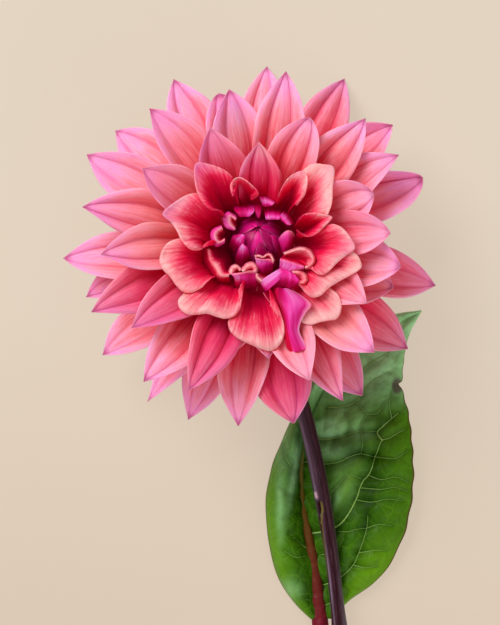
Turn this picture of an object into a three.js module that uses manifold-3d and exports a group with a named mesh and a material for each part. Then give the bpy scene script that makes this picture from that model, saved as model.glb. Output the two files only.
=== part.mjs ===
// A cut dahlia bloom on its stem with one leaf, lying face up on a table.
// Units are millimetres, +Z is up, and the table is z = 0. While it is laid out, x = 0, y = 0 is the point
// straight below the middle of the bud; at the end the whole flower is moved so that its origin is the
// middle of its outline on the table.
import * as THREE from 'three';
import { mergeVertices } from 'three/addons/utils/BufferGeometryUtils.js';
import Module from 'manifold-3d';

const wasm = await Module();
wasm.setup();

// Driving dimensions of the bloom.
const RECEPTACLE_HEIGHT = 24; // height of the receptacle's base above the table
const LEAN = { x: 0.02, y: 0.17 }; // how far the bloom's axis leans over, per unit of height
const BUD_HEIGHT = 28; // the bud's visible middle, above the receptacle's base
const BLADE = 0.7; // thickness of a floret
const GAP = 0.3; // clearance between pieces that touch

// A floret's shape from the back row (level 0) to the innermost open row (level 1).
const ROOT = { radius: [11, 13.1], height: [2.6, 10] };
const TIP_HEIGHT = [-12, 4, 16, 24, 30, 34, 37, 39, 41]; // above the receptacle's base, from back row to middle
const BEND = [34, 46]; // how much a floret curves outwards from root to tip, degrees
const HALF_WIDTH = [10.8, 10.4];
const TROUGH = { root: [50, 90], tip: [26, 50] }; // half-angle of the floret's curved section, degrees
const PLEAT = 0.09; // depth of the two long pleats, per half width
const PLEAT_AT = 0.42; // place of the pleats across the floret
const WIDEST_AT = 0.6; // place of the widest section along the floret
const FOLDED = [-1, 0, 1]; // edges across a simply folded floret
const PLEATED = [-1, -PLEAT_AT, 0, PLEAT_AT, 1]; // edges across a pleated one
const PLEATED_FROM = 0.86; // level from which florets are pleated and get narrower
const NARROWING = 0.38; // how much narrower the innermost is

// Open florets from the back row to the middle: the direction of the tip seen from the front (degrees
// anticlockwise from +X), and its distance from the middle of the bud (mm). A third value above 0 blunts the tip,
// and a fourth lowers it (mm), as on the two florets that the bloom rests on.
const OPEN_FLORETS = [
  [217, 72], [87, 63.5], [323.5, 69], [143, 66, 0, 9], [61.5, 67, 0, 7], [249, 72], [345, 68], [199, 67.5],
  [40, 65], [303.5, 70], [236, 73], [118, 66.5], [20, 65], [186, 72.5], [154, 70.5], [281, 70], [264, 70],
  [333, 52], [172, 50], [225, 50], [5, 44], [72, 50], [292, 50], [105, 48],
  [101, 56], [231.5, 68], [297.5, 68], [204, 67.5], [130, 62.5], [30.5, 60.5], [80.5, 62.5], [170, 66],
  [48, 59.5], [315.5, 60.5], [348.5, 54], [256, 46], [275, 45],
  [245.5, 62], [186, 58.5], [215.5, 57.5], [66.5, 48.5], [21, 46], [149, 50], [2, 49], [113.5, 44.5], [290, 56.5],
  [329, 47], [262, 36], [204, 34], [140, 34],
  [193, 36.5, 0.9], [316, 42, 0.6], [43, 38, 0.4], [165, 36.5, 0.2], [232, 35.5, 1], [273, 41, 1], [345.5, 39, 0.6],
  [129, 36], [89.5, 35.5], [354, 36, 0.3], [54.5, 30, 0.5], [16.5, 28, 0.3], [108, 23, 0.8],
];

// Half-open florets that curl round the bud: direction and distance of the tip, as above.
const CURLED_FLORETS = [
  [70, 15], [38, 15], [7, 15.5], [325, 16.5], [300, 17], [268, 15.5], [240, 16], [212, 17], [170, 15.5], [143, 15],
  [105, 15],
];
const CURL = { length: 23, halfWidth: 4.2, root: { radius: 12.4, height: 9 }, trough: [60, 125], turn: 10 };

// Closed florets that make up the bud: how many there are in each ring, and where their tips lean in to.
const BUD = { radius: 9.2, base: 11.3, height: 19, footRadius: 7 };
const BUD_RINGS = [
  { count: 7, foot: 0.02, tip: 0.6, halfWidth: 3.4, thickness: 1.2 },
  { count: 6, foot: 0.32, tip: 0.82, halfWidth: 3, thickness: 1.2 },
  { count: 5, foot: 0.58, tip: 0.98, halfWidth: 2.4, thickness: 1.2 },
];
const GOLDEN_ANGLE = 137.508;

// Bracts under the bloom.
const INVOLUCRE = { radius: 9.5, thickness: 3 };
const INNER_BRACTS = { count: 8, length: 17, halfWidth: 5, first: 10 };
const OUTER_BRACTS = { count: 5, length: 13, halfWidth: 3.2, first: 325 };

// The stem, from the bloom to the cut end. Its first two points follow the bloom's axis.
const STEM_ROUTE = [
  [-2.2, -11.4, 13.2], [1.6, -20, 12.9], [9.6, -42, 14], [17.6, -66, 13.9], [23, -90, 11.5],
  [27.6, -117, 9.5], [30.4, -141, 8], [32.2, -160, 6.4], [33.6, -180, 4.8], [34.6, -199, 3.35],
];
const STEM_RADII = [4.6, 3.2, 2.6, 2.5, 2.6, 3, 3.05, 2.75, 2.75, 3.9, 3.1, 3.05]; // one for each point
const STEM_SIDES = 12;
const STEM_STEPS = 44;
const RIB = 0.05; // depth of the stem's ribs, per radius
const HOLLOW = { radius: 1.5, depth: 10 }; // the hollow that shows at the cut end

// The leaf: its midrib from the stalk to the tip, and its two margins.
const MIDRIB = [
  [26.5, -160.5, 5.9], [24.7, -154.5, 4.7], [23.6, -144, 3.4], [21.2, -122, 2.4], [17.6, -104, 2], [16.4, -90, 2],
  [17.4, -78, 2], [21, -66, 2.2], [27.4, -54, 3], [37, -43, 4.4], [49, -34, 6.4], [62, -27, 9],
];
const STALK_SHARE = 0.1; // part of the midrib that is bare stalk
const LEFT_MARGIN = [
  [23.4, -147, 3.4], [14.4, -138.4, 3], [7.6, -128, 2.4], [4.6, -116, 1.8], [3.2, -101, 1.6], [5.4, -87, 1.8],
  [11.8, -71, 2.4], [18.4, -55, 4], [28, -42, 5.6], [40, -33, 7.4], [52, -28.4, 8.6], [62, -27, 9],
];
const RIGHT_MARGIN = [
  [26.6, -147, 3.4], [34, -138, 2], [44.4, -130.4, 3], [51, -122, 4.6], [56.2, -110, 6.4], [58.9, -95, 8],
  [58.8, -80, 9], [57.2, -66, 8.6], [55, -57, 7], [55.4, -46, 6], [57.4, -36, 7], [62, -27, 9],
];
const LEAF = {
  thickness: 0.8,
  veins: 9,
  columns: 4,
  sweep: 0.82, // below 1, the side veins run forwards
  arch: { left: 7.4, right: 4 },
  fullest: 0.75, // below 1, the arch is highest nearer to the stalk
  crest: 1.35, // above 1, the arch is highest nearer to the margin
  quilt: 1.1,
  tooth: 0.02,
};
const MIDRIB_RADII = [1.9, 2.1, 1.9, 1.6, 1.4, 1.25, 1.1, 1, 0.9, 0.75, 0.6, 0.45];

const COLOURS = {
  floret: 0xe8788a,
  bud: 0xb01266,
  bract: 0x6f8f3c,
  stem: 0x4a2a38,
  leaf: 0x3f6b22,
};

const rad = THREE.MathUtils.degToRad;
const mix = ([a, b], x) => a + (b - a) * x;
const vec = (p) => new THREE.Vector3(...p);
const UP = new THREE.Vector3(0, 0, 1);
const AXIS = new THREE.Vector3(LEAN.x, LEAN.y, 1).normalize();
const RECEPTACLE = new THREE.Vector3(-LEAN.x * BUD_HEIGHT, -LEAN.y * BUD_HEIGHT, RECEPTACLE_HEIGHT);

function toSolid(geometry) {
  const bare = geometry.clone();
  bare.deleteAttribute('normal');
  bare.deleteAttribute('uv');
  const merged = mergeVertices(bare, 1e-4);
  return new wasm.Manifold(new wasm.Mesh({
    numProp: 3,
    vertProperties: merged.attributes.position.array,
    triVerts: merged.index.array,
  }));
}

function toGeometry(solid) {
  const { vertProperties, triVerts } = solid.getMesh();
  const geometry = new THREE.BufferGeometry();
  geometry.setAttribute('position', new THREE.BufferAttribute(vertProperties, 3));
  geometry.setIndex(new THREE.BufferAttribute(triVerts, 1));
  return geometry;
}

const join = (solids) => solids.reduce((all, one) => all.add(one));

// The outside of a solid: closed hollows between crossing blades are filled in.
function outside(solid) {
  const geometry = toGeometry(solid);
  const index = geometry.index.array;
  const leader = Array.from({ length: geometry.attributes.position.count }, (_, i) => i);
  const find = (i) => {
    let j = i;
    while (leader[j] !== j) j = leader[j] = leader[leader[j]];
    return j;
  };
  for (let i = 0; i < index.length; i += 3) {
    leader[find(index[i])] = find(index[i + 1]);
    leader[find(index[i + 1])] = find(index[i + 2]);
  }
  const shells = new Map();
  for (let i = 0; i < index.length; i += 3) {
    const shell = find(index[i]);
    if (!shells.has(shell)) shells.set(shell, []);
    shells.get(shell).push(index[i], index[i + 1], index[i + 2]);
  }
  const largest = [...shells.values()].reduce((a, b) => (a.length > b.length ? a : b));
  geometry.setIndex(largest);
  return toSolid(geometry);
}

// A closed blade round a grid of points, rows x columns, where the last row is a single tip.
// Both faces are split into triangles alike.
function blade(rows, tip, thickness) {
  const width = rows[0].length;
  const half = thickness / 2;
  const points = [];
  for (const side of [half, -half]) {
    for (const row of rows) for (const { at, normal } of row) points.push(at.clone().addScaledVector(normal, side));
    points.push(tip.at.clone().addScaledVector(tip.normal, side));
  }
  const back = points.length / 2;
  const last = back - 1;
  const faces = [];
  const quad = (a, b, c, d) => faces.push([a, b, c], [a, c, d]);
  for (let i = 0; i < rows.length - 1; i++) {
    for (let j = 0; j < width - 1; j++) {
      const a = i * width + j;
      quad(a, a + 1, a + width + 1, a + width);
      faces.push([back + a, back + a + width + 1, back + a + 1], [back + a, back + a + width, back + a + width + 1]);
    }
  }
  for (let j = 0; j < width - 1; j++) {
    const a = (rows.length - 1) * width + j;
    faces.push([a, a + 1, last], [back + a, back + last, back + a + 1]);
    quad(j + 1, j, back + j, back + j + 1);
  }
  for (let i = 0; i < rows.length; i++) {
    const left = i * width;
    const right = left + width - 1;
    const nextLeft = i + 1 < rows.length ? left + width : last;
    const nextRight = i + 1 < rows.length ? right + width : last;
    quad(left, nextLeft, back + nextLeft, back + left);
    quad(nextRight, right, back + right, back + nextRight);
  }
  const geometry = new THREE.BufferGeometry().setFromPoints(points);
  geometry.setIndex(faces.flat());
  const solid = toSolid(geometry);
  if (solid.volume() > 0) return solid;
  geometry.setIndex(faces.map(([a, b, c]) => [a, c, b]).flat());
  return toSolid(geometry);
}

// A closed tube along a curve whose radius changes from one end to the other.
function taperedTube(curve, radiusAt, sides, steps, ribDepth = 0) {
  const points = [];
  const faces = [];
  let side = new THREE.Vector3(1, 0, 0);
  for (let i = 0; i <= steps; i++) {
    const along = curve.getTangentAt(i / steps);
    side = side.addScaledVector(along, -side.dot(along)).normalize();
    const other = along.clone().cross(side);
    const centre = curve.getPointAt(i / steps);
    for (let k = 0; k < sides; k++) {
      const angle = (2 * Math.PI * k) / sides;
      const radius = radiusAt(i / steps) * (k % 2 ? 1 - ribDepth : 1);
      points.push(centre.clone()
        .addScaledVector(side, radius * Math.cos(angle))
        .addScaledVector(other, radius * Math.sin(angle)));
    }
  }
  for (let i = 0; i < steps; i++) {
    for (let k = 0; k < sides; k++) {
      const a = i * sides + k;
      const b = i * sides + ((k + 1) % sides);
      faces.push([a, b, b + sides], [a, b + sides, a + sides]);
    }
  }
  for (let k = 1; k < sides - 1; k++) {
    faces.push([0, k + 1, k]);
    const top = steps * sides;
    faces.push([top, top + k, top + k + 1]);
  }
  const geometry = new THREE.BufferGeometry().setFromPoints(points);
  geometry.setIndex(faces.flat());
  return toSolid(geometry);
}

// A value that runs smoothly through a list, by the share of the way along it.
function alongList(values) {
  const curve = new THREE.SplineCurve(values.map((v, i) => new THREE.Vector2(i, v)));
  return (share) => curve.getPoint(share).y;
}

// A floret's outline: its half width, as a share of the widest, from root (0) to tip (1).
function outline(s, blunt) {
  if (s < WIDEST_AT) return 0.36 + 0.64 * Math.sin((Math.PI / 2) * Math.max(0, s / WIDEST_AT)) ** 1.3;
  const x = Math.min(1, (s - WIDEST_AT) / (1 - WIDEST_AT));
  return (1 - blunt) * (1 - x ** 1.7) + blunt * Math.sqrt(1 - x ** 3);
}

// A floret as a curved, pleated trough. Angles are in degrees, and start and end are its elevations.
function floret({ azimuth, root, length, start, end, halfWidth, trough, blunt = 0, rowsAt, columns }) {
  const outwards = new THREE.Vector3(Math.cos(rad(azimuth)), Math.sin(rad(azimuth)), 0);
  const across = new THREE.Vector3(-outwards.y, outwards.x, 0);
  const elevation = (s) => rad(start + (end - start) * s);
  const spine = (s) => {
    const at = outwards.clone().multiplyScalar(root.radius).addScaledVector(UP, root.height);
    const steps = 12;
    for (let i = 0; i < steps; i++) {
      const angle = elevation(((i + 0.5) / steps) * s);
      at.addScaledVector(outwards, (Math.cos(angle) * length * s) / steps);
      at.addScaledVector(UP, (Math.sin(angle) * length * s) / steps);
    }
    return at;
  };
  const point = (s, t) => {
    const angle = elevation(s);
    const upper = UP.clone().multiplyScalar(Math.cos(angle)).addScaledVector(outwards, -Math.sin(angle));
    const half = halfWidth * outline(s, blunt);
    const curl = rad(mix(trough, s));
    const pleat = PLEAT * half * Math.exp(-(((Math.abs(t) - PLEAT_AT) / 0.2) ** 2));
    return spine(s)
      .addScaledVector(across, (half * Math.sin(curl * t)) / curl)
      .addScaledVector(upper, (half * (1 - Math.cos(curl * t))) / curl - pleat);
  };
  const step = 0.01;
  const normalAt = (s, t) => {
    const alongS = point(s + step, t).sub(point(s - step, t));
    return alongS.cross(point(s, t + step).sub(point(s, t - step))).normalize();
  };
  const rows = rowsAt.map((s) => columns.map((t) => ({ at: point(s, t), normal: normalAt(s, t) })));
  return blade(rows, { at: spine(1), normal: normalAt(0.96, 0) }, BLADE);
}

const tipHeightAt = alongList(TIP_HEIGHT);

// An open floret of the list: its level sets its shape, and its place seen from the front its length.
function openFloret([seenAzimuth, seenReach, blunt = 0, droop = 0], index) {
  const level = index / (OPEN_FLORETS.length - 1);
  const bend = mix(BEND, level);
  const root = { radius: mix(ROOT.radius, level), height: mix(ROOT.height, level) };
  // The bloom leans, so what is lower than the bud is seen shifted against the lean.
  const tipHeight = tipHeightAt(level) - droop;
  const x = seenReach * Math.cos(rad(seenAzimuth)) + LEAN.x * (BUD_HEIGHT - tipHeight);
  const y = seenReach * Math.sin(rad(seenAzimuth)) + LEAN.y * (BUD_HEIGHT - tipHeight);
  const run = Math.hypot(x, y) - root.radius;
  const rise = THREE.MathUtils.radToDeg(Math.atan2(tipHeight - root.height, run));
  const chord = Math.sin(rad(bend / 2)) / rad(bend / 2);
  const length = run / (Math.cos(rad(rise)) * chord);
  const narrowing = 1 - NARROWING * THREE.MathUtils.smoothstep(level, PLEATED_FROM, 1);
  return floret({
    azimuth: THREE.MathUtils.radToDeg(Math.atan2(y, x)),
    root,
    length,
    start: rise + bend / 2,
    end: rise - bend / 2,
    halfWidth: mix(HALF_WIDTH, level) * narrowing,
    trough: [mix(TROUGH.root, level), mix(TROUGH.tip, level)],
    blunt,
    rowsAt: [0.05, 0.3, WIDEST_AT, 0.84],
    columns: level < PLEATED_FROM ? FOLDED : PLEATED,
  });
}

function curledFloret([azimuth, reach]) {
  const lean = Math.acos((reach - CURL.root.radius) / CURL.length) * (180 / Math.PI);
  return floret({
    azimuth,
    root: CURL.root,
    length: CURL.length,
    start: lean - CURL.turn,
    end: lean + CURL.turn,
    halfWidth: CURL.halfWidth,
    trough: CURL.trough,
    blunt: 0.6,
    rowsAt: [0, 0.35, 0.7, 0.9],
    columns: PLEATED,
  });
}

// All open florets, joined to the receptacle that they grow from.
function florets() {
  const profile = [[0, 0], [12, 0], [19, 1.6], [22, 6], [21, 11], [18, 15], [13.5, 17], [11, 15], [10, 11], [0, 11]];
  const receptacle = new THREE.LatheGeometry(profile.map(([r, z]) => new THREE.Vector2(r, z)), 20);
  receptacle.rotateX(Math.PI / 2);
  return outside(join([toSolid(receptacle), ...OPEN_FLORETS.map(openFloret), ...CURLED_FLORETS.map(curledFloret)]));
}

// One closed floret: a pointed lens that follows the round of the bud.
function closedFloret(azimuth, { foot, tip, halfWidth, thickness }) {
  const onBud = (share, height) => {
    const angle = rad(90 * share);
    const radius = BUD.radius * Math.cos(angle) + height * Math.cos(angle);
    const z = BUD.base + BUD.height * 0.25 + BUD.height * 0.75 * Math.sin(angle) + height * Math.sin(angle);
    return [radius, z];
  };
  const sections = [0, 0.36, 0.76];
  const points = [];
  const sides = 6;
  for (const s of sections) {
    const [radius, z] = onBud(foot + (tip - foot) * s, 0);
    const wide = halfWidth * (s < 0.4 ? 0.75 + 0.6 * s : 1 - ((s - 0.4) / 0.62) ** 2);
    const slope = rad(90 * (foot + (tip - foot) * s));
    for (let k = 0; k < sides; k++) {
      const turn = (2 * Math.PI * k) / sides;
      const out = thickness * Math.sin(turn);
      points.push(new THREE.Vector3(
        radius + out * Math.cos(slope),
        wide * Math.cos(turn),
        z + out * Math.sin(slope),
      ));
    }
  }
  const [tipRadius, tipZ] = onBud(tip, 0.5);
  points.push(new THREE.Vector3(tipRadius, 0, tipZ));
  const faces = [];
  for (let i = 0; i < sections.length - 1; i++) {
    for (let k = 0; k < sides; k++) {
      const a = i * sides + k;
      const b = i * sides + ((k + 1) % sides);
      faces.push([a, b, b + sides], [a, b + sides, a + sides]);
    }
  }
  const top = (sections.length - 1) * sides;
  for (let k = 0; k < sides; k++) faces.push([top + k, top + ((k + 1) % sides), points.length - 1]);
  for (let k = 1; k < sides - 1; k++) faces.push([0, k + 1, k]);
  const geometry = new THREE.BufferGeometry().setFromPoints(points);
  geometry.setIndex(faces.flat());
  geometry.rotateZ(rad(azimuth));
  let solid = toSolid(geometry);
  if (solid.volume() < 0) {
    geometry.setIndex(faces.map(([a, b, c]) => [a, c, b]).flat());
    solid = toSolid(geometry);
  }
  return solid;
}

// The bud: a core that the closed florets wrap round.
function bud() {
  const profile = [[0, BUD.base], [BUD.footRadius, BUD.base]];
  for (let i = 0; i <= 5; i++) {
    const angle = rad(-20 + 22 * i);
    profile.push([(BUD.radius - 1.2) * Math.cos(angle), BUD.base + BUD.height * (0.25 + 0.7 * Math.sin(angle))]);
  }
  const outlinePoints = profile.filter(([r, z]) => r >= 0 && z >= BUD.base);
  outlinePoints[outlinePoints.length - 1][0] = 0;
  const core = new THREE.LatheGeometry(outlinePoints.map(([r, z]) => new THREE.Vector2(r, z)), 14);
  core.rotateX(Math.PI / 2);
  const solids = [toSolid(core)];
  let azimuth = 0;
  for (const ring of BUD_RINGS) {
    for (let i = 0; i < ring.count; i++) {
      azimuth += 360 / ring.count;
      solids.push(closedFloret(azimuth, ring));
    }
    azimuth += GOLDEN_ANGLE;
  }
  return join(solids);
}

function bract(azimuth, { length, halfWidth }, start, end) {
  return floret({
    azimuth,
    root: { radius: INVOLUCRE.radius - 2.5, height: -GAP - INVOLUCRE.thickness * 0.6 },
    length,
    start,
    end,
    halfWidth,
    trough: [40, 30],
    rowsAt: [0, 0.4, WIDEST_AT, 0.84],
    columns: FOLDED,
  });
}

// The involucre: a green disc under the receptacle, with an inner and an outer ring of bracts.
function involucre() {
  const { radius, thickness } = INVOLUCRE;
  const bottom = -GAP - thickness;
  const profile = [[0, bottom], [5, bottom], [radius, -GAP - thickness * 0.4], [radius, -GAP], [0, -GAP]];
  const disc = new THREE.LatheGeometry(profile.map(([r, z]) => new THREE.Vector2(r, z)), 20);
  disc.rotateX(Math.PI / 2);
  const solids = [toSolid(disc)];
  for (let i = 0; i < INNER_BRACTS.count; i++) {
    solids.push(bract(INNER_BRACTS.first + (360 * i) / INNER_BRACTS.count, INNER_BRACTS, 0, -18));
  }
  for (let i = 0; i < OUTER_BRACTS.count; i++) {
    solids.push(bract(OUTER_BRACTS.first + (360 * i) / OUTER_BRACTS.count, OUTER_BRACTS, -18, -75));
  }
  return join(solids);
}

// The stem: a ribbed tube that bends from the bloom's axis down to the table, swollen at the leaf's node.
function stem() {
  const top = RECEPTACLE.clone().addScaledVector(AXIS, -2 * GAP - INVOLUCRE.thickness);
  const neck = top.clone().addScaledVector(AXIS, -3.6);
  const curve = new THREE.CatmullRomCurve3([top, neck, ...STEM_ROUTE.map(vec)], false, 'centripetal');
  const radiusAt = alongList(STEM_RADII);
  const total = curve.getLength();
  // The radii belong to the route's points, so a place along the stem is first turned into a share of the points.
  const shares = [];
  const samples = 400;
  let walked = 0;
  let before = curve.getPoint(0);
  for (let i = 0; i <= samples; i++) {
    const here = curve.getPoint(i / samples);
    walked += here.distanceTo(before);
    shares.push(walked / total);
    before = here;
  }
  const shareOfPoints = (u) => shares.findIndex((share) => share >= u - 1e-6) / samples;
  const tube = taperedTube(curve, (u) => radiusAt(Math.max(0, shareOfPoints(u))), STEM_SIDES, STEM_STEPS, RIB);
  const end = vec(STEM_ROUTE.at(-1));
  const inwards = vec(STEM_ROUTE.at(-2)).sub(end).normalize();
  const hollow = new THREE.CylinderGeometry(HOLLOW.radius * 0.7, HOLLOW.radius, HOLLOW.depth + 1, 8);
  hollow.applyQuaternion(new THREE.Quaternion().setFromUnitVectors(new THREE.Vector3(0, 1, 0), inwards));
  hollow.translate(...end.clone().addScaledVector(inwards, (HOLLOW.depth - 1) / 2).toArray());
  return tube.subtract(toSolid(hollow));
}

// The leaf: a quilted blade between its midrib and its two margins, on its stalk.
function leaf() {
  const curveOf = (points) => new THREE.CatmullRomCurve3(points.map(vec), false, 'centripetal');
  const midrib = curveOf(MIDRIB);
  const margins = { left: curveOf(LEFT_MARGIN), right: curveOf(RIGHT_MARGIN) };
  const ribAt = (u) => midrib.getPointAt(STALK_SHARE + (1 - STALK_SHARE) * u);
  const point = (u, v) => {
    const side = v < 0 ? 'left' : 'right';
    const x = Math.abs(v);
    const from = ribAt(u);
    const to = margins[side].getPointAt(u ** LEAF.sweep);
    const tooth = 1 + LEAF.tooth * Math.cos(2 * Math.PI * LEAF.veins * u) * x ** 4;
    const at = from.clone().lerp(to, x * tooth);
    const fullness = Math.sin(Math.PI * u ** LEAF.fullest) ** 0.8;
    const quilt = LEAF.quilt * Math.sin(Math.PI * LEAF.veins * u) ** 2 * Math.sin(Math.PI * x ** 0.8);
    at.z += fullness * (LEAF.arch[side] * Math.sin(Math.PI * x ** LEAF.crest) + quilt);
    return at;
  };
  const step = 0.004;
  const normalAt = (u, v) => {
    const a = point(Math.min(1, u + step), v).sub(point(Math.max(0, u - step), v));
    return a.cross(point(u, Math.min(1, v + step)).sub(point(u, Math.max(-1, v - step)))).normalize();
  };
  const rows = [];
  const stations = 2 * LEAF.veins;
  for (let i = 0; i < stations; i++) {
    const u = 0.012 + (0.975 * i) / stations;
    const row = [];
    for (let j = -LEAF.columns; j <= LEAF.columns; j++) {
      const v = j / LEAF.columns;
      row.push({ at: point(u, v), normal: normalAt(u, v) });
    }
    rows.push(row);
  }
  const tip = { at: ribAt(1), normal: normalAt(0.97, 0) };
  const rib = taperedTube(midrib, alongList(MIDRIB_RADII), 7, 30);
  return blade(rows, tip, LEAF.thickness).add(rib);
}

function meshOf(name, solid, colour, roughness) {
  const material = new THREE.MeshStandardMaterial({ color: colour, roughness, metalness: 0, side: THREE.DoubleSide });
  const mesh = new THREE.Mesh(toGeometry(solid), material);
  mesh.name = name;
  return mesh;
}

const bloom = new THREE.Group();
bloom.add(meshOf('ray_florets', florets(), COLOURS.floret, 0.6));
bloom.add(meshOf('bud', bud(), COLOURS.bud, 0.5));
bloom.add(meshOf('involucre', involucre(), COLOURS.bract, 0.6));
bloom.quaternion.setFromUnitVectors(UP, AXIS);
bloom.position.copy(RECEPTACLE);

const flower = new THREE.Group();
flower.add(bloom);
flower.add(meshOf('stem', stem(), COLOURS.stem, 0.45));
flower.add(meshOf('leaf', leaf(), COLOURS.leaf, 0.4));

// The origin is the middle of the whole flower's outline, on the table.
flower.updateMatrixWorld(true);
const box = new THREE.Box3().setFromObject(flower, true);
const middle = box.getCenter(new THREE.Vector3());
flower.position.set(-middle.x, -middle.y, -box.min.z);

export default flower;
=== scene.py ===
import math

import bpy
import numpy as np
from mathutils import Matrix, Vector


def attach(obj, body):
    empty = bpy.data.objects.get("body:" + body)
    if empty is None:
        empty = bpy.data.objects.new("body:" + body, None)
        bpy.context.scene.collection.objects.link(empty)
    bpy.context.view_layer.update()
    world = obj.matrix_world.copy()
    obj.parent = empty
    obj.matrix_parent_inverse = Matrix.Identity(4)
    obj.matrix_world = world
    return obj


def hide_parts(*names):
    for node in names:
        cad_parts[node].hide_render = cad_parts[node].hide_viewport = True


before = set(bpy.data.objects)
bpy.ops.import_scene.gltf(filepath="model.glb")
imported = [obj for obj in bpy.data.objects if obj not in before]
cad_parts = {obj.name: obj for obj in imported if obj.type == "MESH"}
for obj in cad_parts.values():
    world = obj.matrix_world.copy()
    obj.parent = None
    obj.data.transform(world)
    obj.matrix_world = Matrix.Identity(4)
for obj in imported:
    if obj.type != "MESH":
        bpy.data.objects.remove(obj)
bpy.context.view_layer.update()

MM = 0.001
# The flower is laid out round the point below the middle of its bud; this moves it to the model's origin.
LAYOUT_ORIGIN = np.array([3.16, 68.30, -0.48])
LEAN = np.array([0.02, 0.17])
BUD_HEIGHT, RECEPTACLE_HEIGHT = 28.0, 24.0
RECEPTACLE = np.array([*(-LEAN * BUD_HEIGHT), RECEPTACLE_HEIGHT])
AXIS = Vector((*LEAN, 1.0)).normalized()
TILT = np.array(Vector((0, 0, 1)).rotation_difference(AXIS).to_matrix())
# The camera stands above VIEW_MIDDLE. The picture's scale is true at the height PLANE, nearer than the leaf.
VIEW_MIDDLE = (-2.96, -27.6)
FRAME_TALL, DISTANCE, PLANE = 231.25, 1400, 45

SEED = 20
# The sides of round things, and a distance beyond everything.
SIDES, FAR = 48, 1e3

rng = np.random.default_rng(SEED)


def at(*seen, **special):
    """What is seen of a floret, and what is special about it."""
    return *seen, special


def mix(pair, x):
    return pair[0] + (pair[1] - pair[0]) * x


def smoothstep(a, b, x):
    x = np.clip((x - a) / (b - a), 0, 1)
    return x * x * (3 - 2 * x)


def dip(away, breadth):
    return np.exp(-((away / breadth) ** 2))


def spline(values, x):
    """A smooth run through evenly spaced values."""
    values = np.asarray(values, float)
    n = len(values) - 1
    p = np.clip(np.asarray(x, float) * n, 0, n - 1e-9)
    i = p.astype(int)
    f = (p - i).reshape(np.shape(p) + (1,) * (values.ndim - 1))
    a, b, c, d = (values[np.clip(i + k, 0, n)] for k in (-1, 0, 1, 2))
    return b + 0.5 * f * ((c - a) + f * ((2 * a - 5 * b + 4 * c - d) + f * (3 * (b - c) + d - a)))


def smooth_path(points, count):
    """Evenly spaced points on a centripetal curve, and each one's place among the given points (0 to 1)."""
    p = np.asarray(points, float)
    p = np.vstack([2 * p[0] - p[1], p, 2 * p[-1] - p[-2]])
    out, place = [], []
    n = len(points) - 1
    for i in range(n):
        x0, x1, x2, x3 = p[i : i + 4]
        d0, d1, d2 = (max(1e-6, np.linalg.norm(b - a)) ** 0.5 for a, b in ((x0, x1), (x1, x2), (x2, x3)))
        m1 = ((x1 - x0) / d0 - (x2 - x0) / (d0 + d1) + (x2 - x1) / d1) * d1
        m2 = ((x2 - x1) / d1 - (x3 - x1) / (d1 + d2) + (x3 - x2) / d2) * d1
        f = np.linspace(0, 1, 40, endpoint=i == n - 1)[:, None]
        gap = x2 - x1
        out.append(x1 + m1 * f + (3 * gap - 2 * m1 - m2) * f**2 + (m1 + m2 - 2 * gap) * f**3)
        place.append((i + f[:, 0]) / n)
    out, place = np.vstack(out), np.concatenate(place)
    walked = np.concatenate([[0], np.cumsum(np.linalg.norm(np.diff(out, axis=0), axis=1))])
    steps = np.linspace(0, walked[-1], count)
    line = np.stack([np.interp(steps, walked, out[:, k]) for k in range(3)], axis=1)
    return line, np.interp(steps, walked, place)


def sample(path, x):
    """Points of a path at shares of its length."""
    even = np.linspace(0, 1, len(path))
    return np.stack([np.interp(x, even, path[:, k]) for k in range(3)], axis=-1)


def unit(v):
    return v / np.maximum(1e-9, np.linalg.norm(v, axis=-1, keepdims=True))


def grid_normals(p):
    return unit(np.cross(np.gradient(p, axis=0), np.gradient(p, axis=1)))


def turns(count):
    return np.linspace(0, 2 * np.pi, count, endpoint=False)


def ball(azimuth, rise):
    """Directions, or points on a ball of radius 1."""
    flat = np.cos(rise)
    return np.stack([flat * np.cos(azimuth), flat * np.sin(azimuth), np.sin(rise) + 0 * azimuth], axis=-1)


def lathe(profile):
    """Rings round the upright axis through (radius, height) points."""
    around = turns(SIDES)
    radius, height = np.array(profile, float).T[..., None]
    return np.stack([radius * np.cos(around), radius * np.sin(around), height + 0 * around], axis=2)


def hose(line, radius, around, flat=1.0):
    """Rings round a line; a flat one is lower than it is wide."""
    ahead = unit(np.gradient(line, axis=0))
    side = np.array([1.0, 0, 0])
    sides = []
    for a in ahead:
        side = side - a * side.dot(a)
        side /= np.linalg.norm(side)
        sides.append(side)
    sides = np.array(sides)
    spokes = sides[:, None] * np.cos(around)[:, None]
    spokes = spokes + np.cross(ahead, sides)[:, None] * flat * np.sin(around)[:, None]
    return line[:, None] + radius[..., None] * spokes


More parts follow.
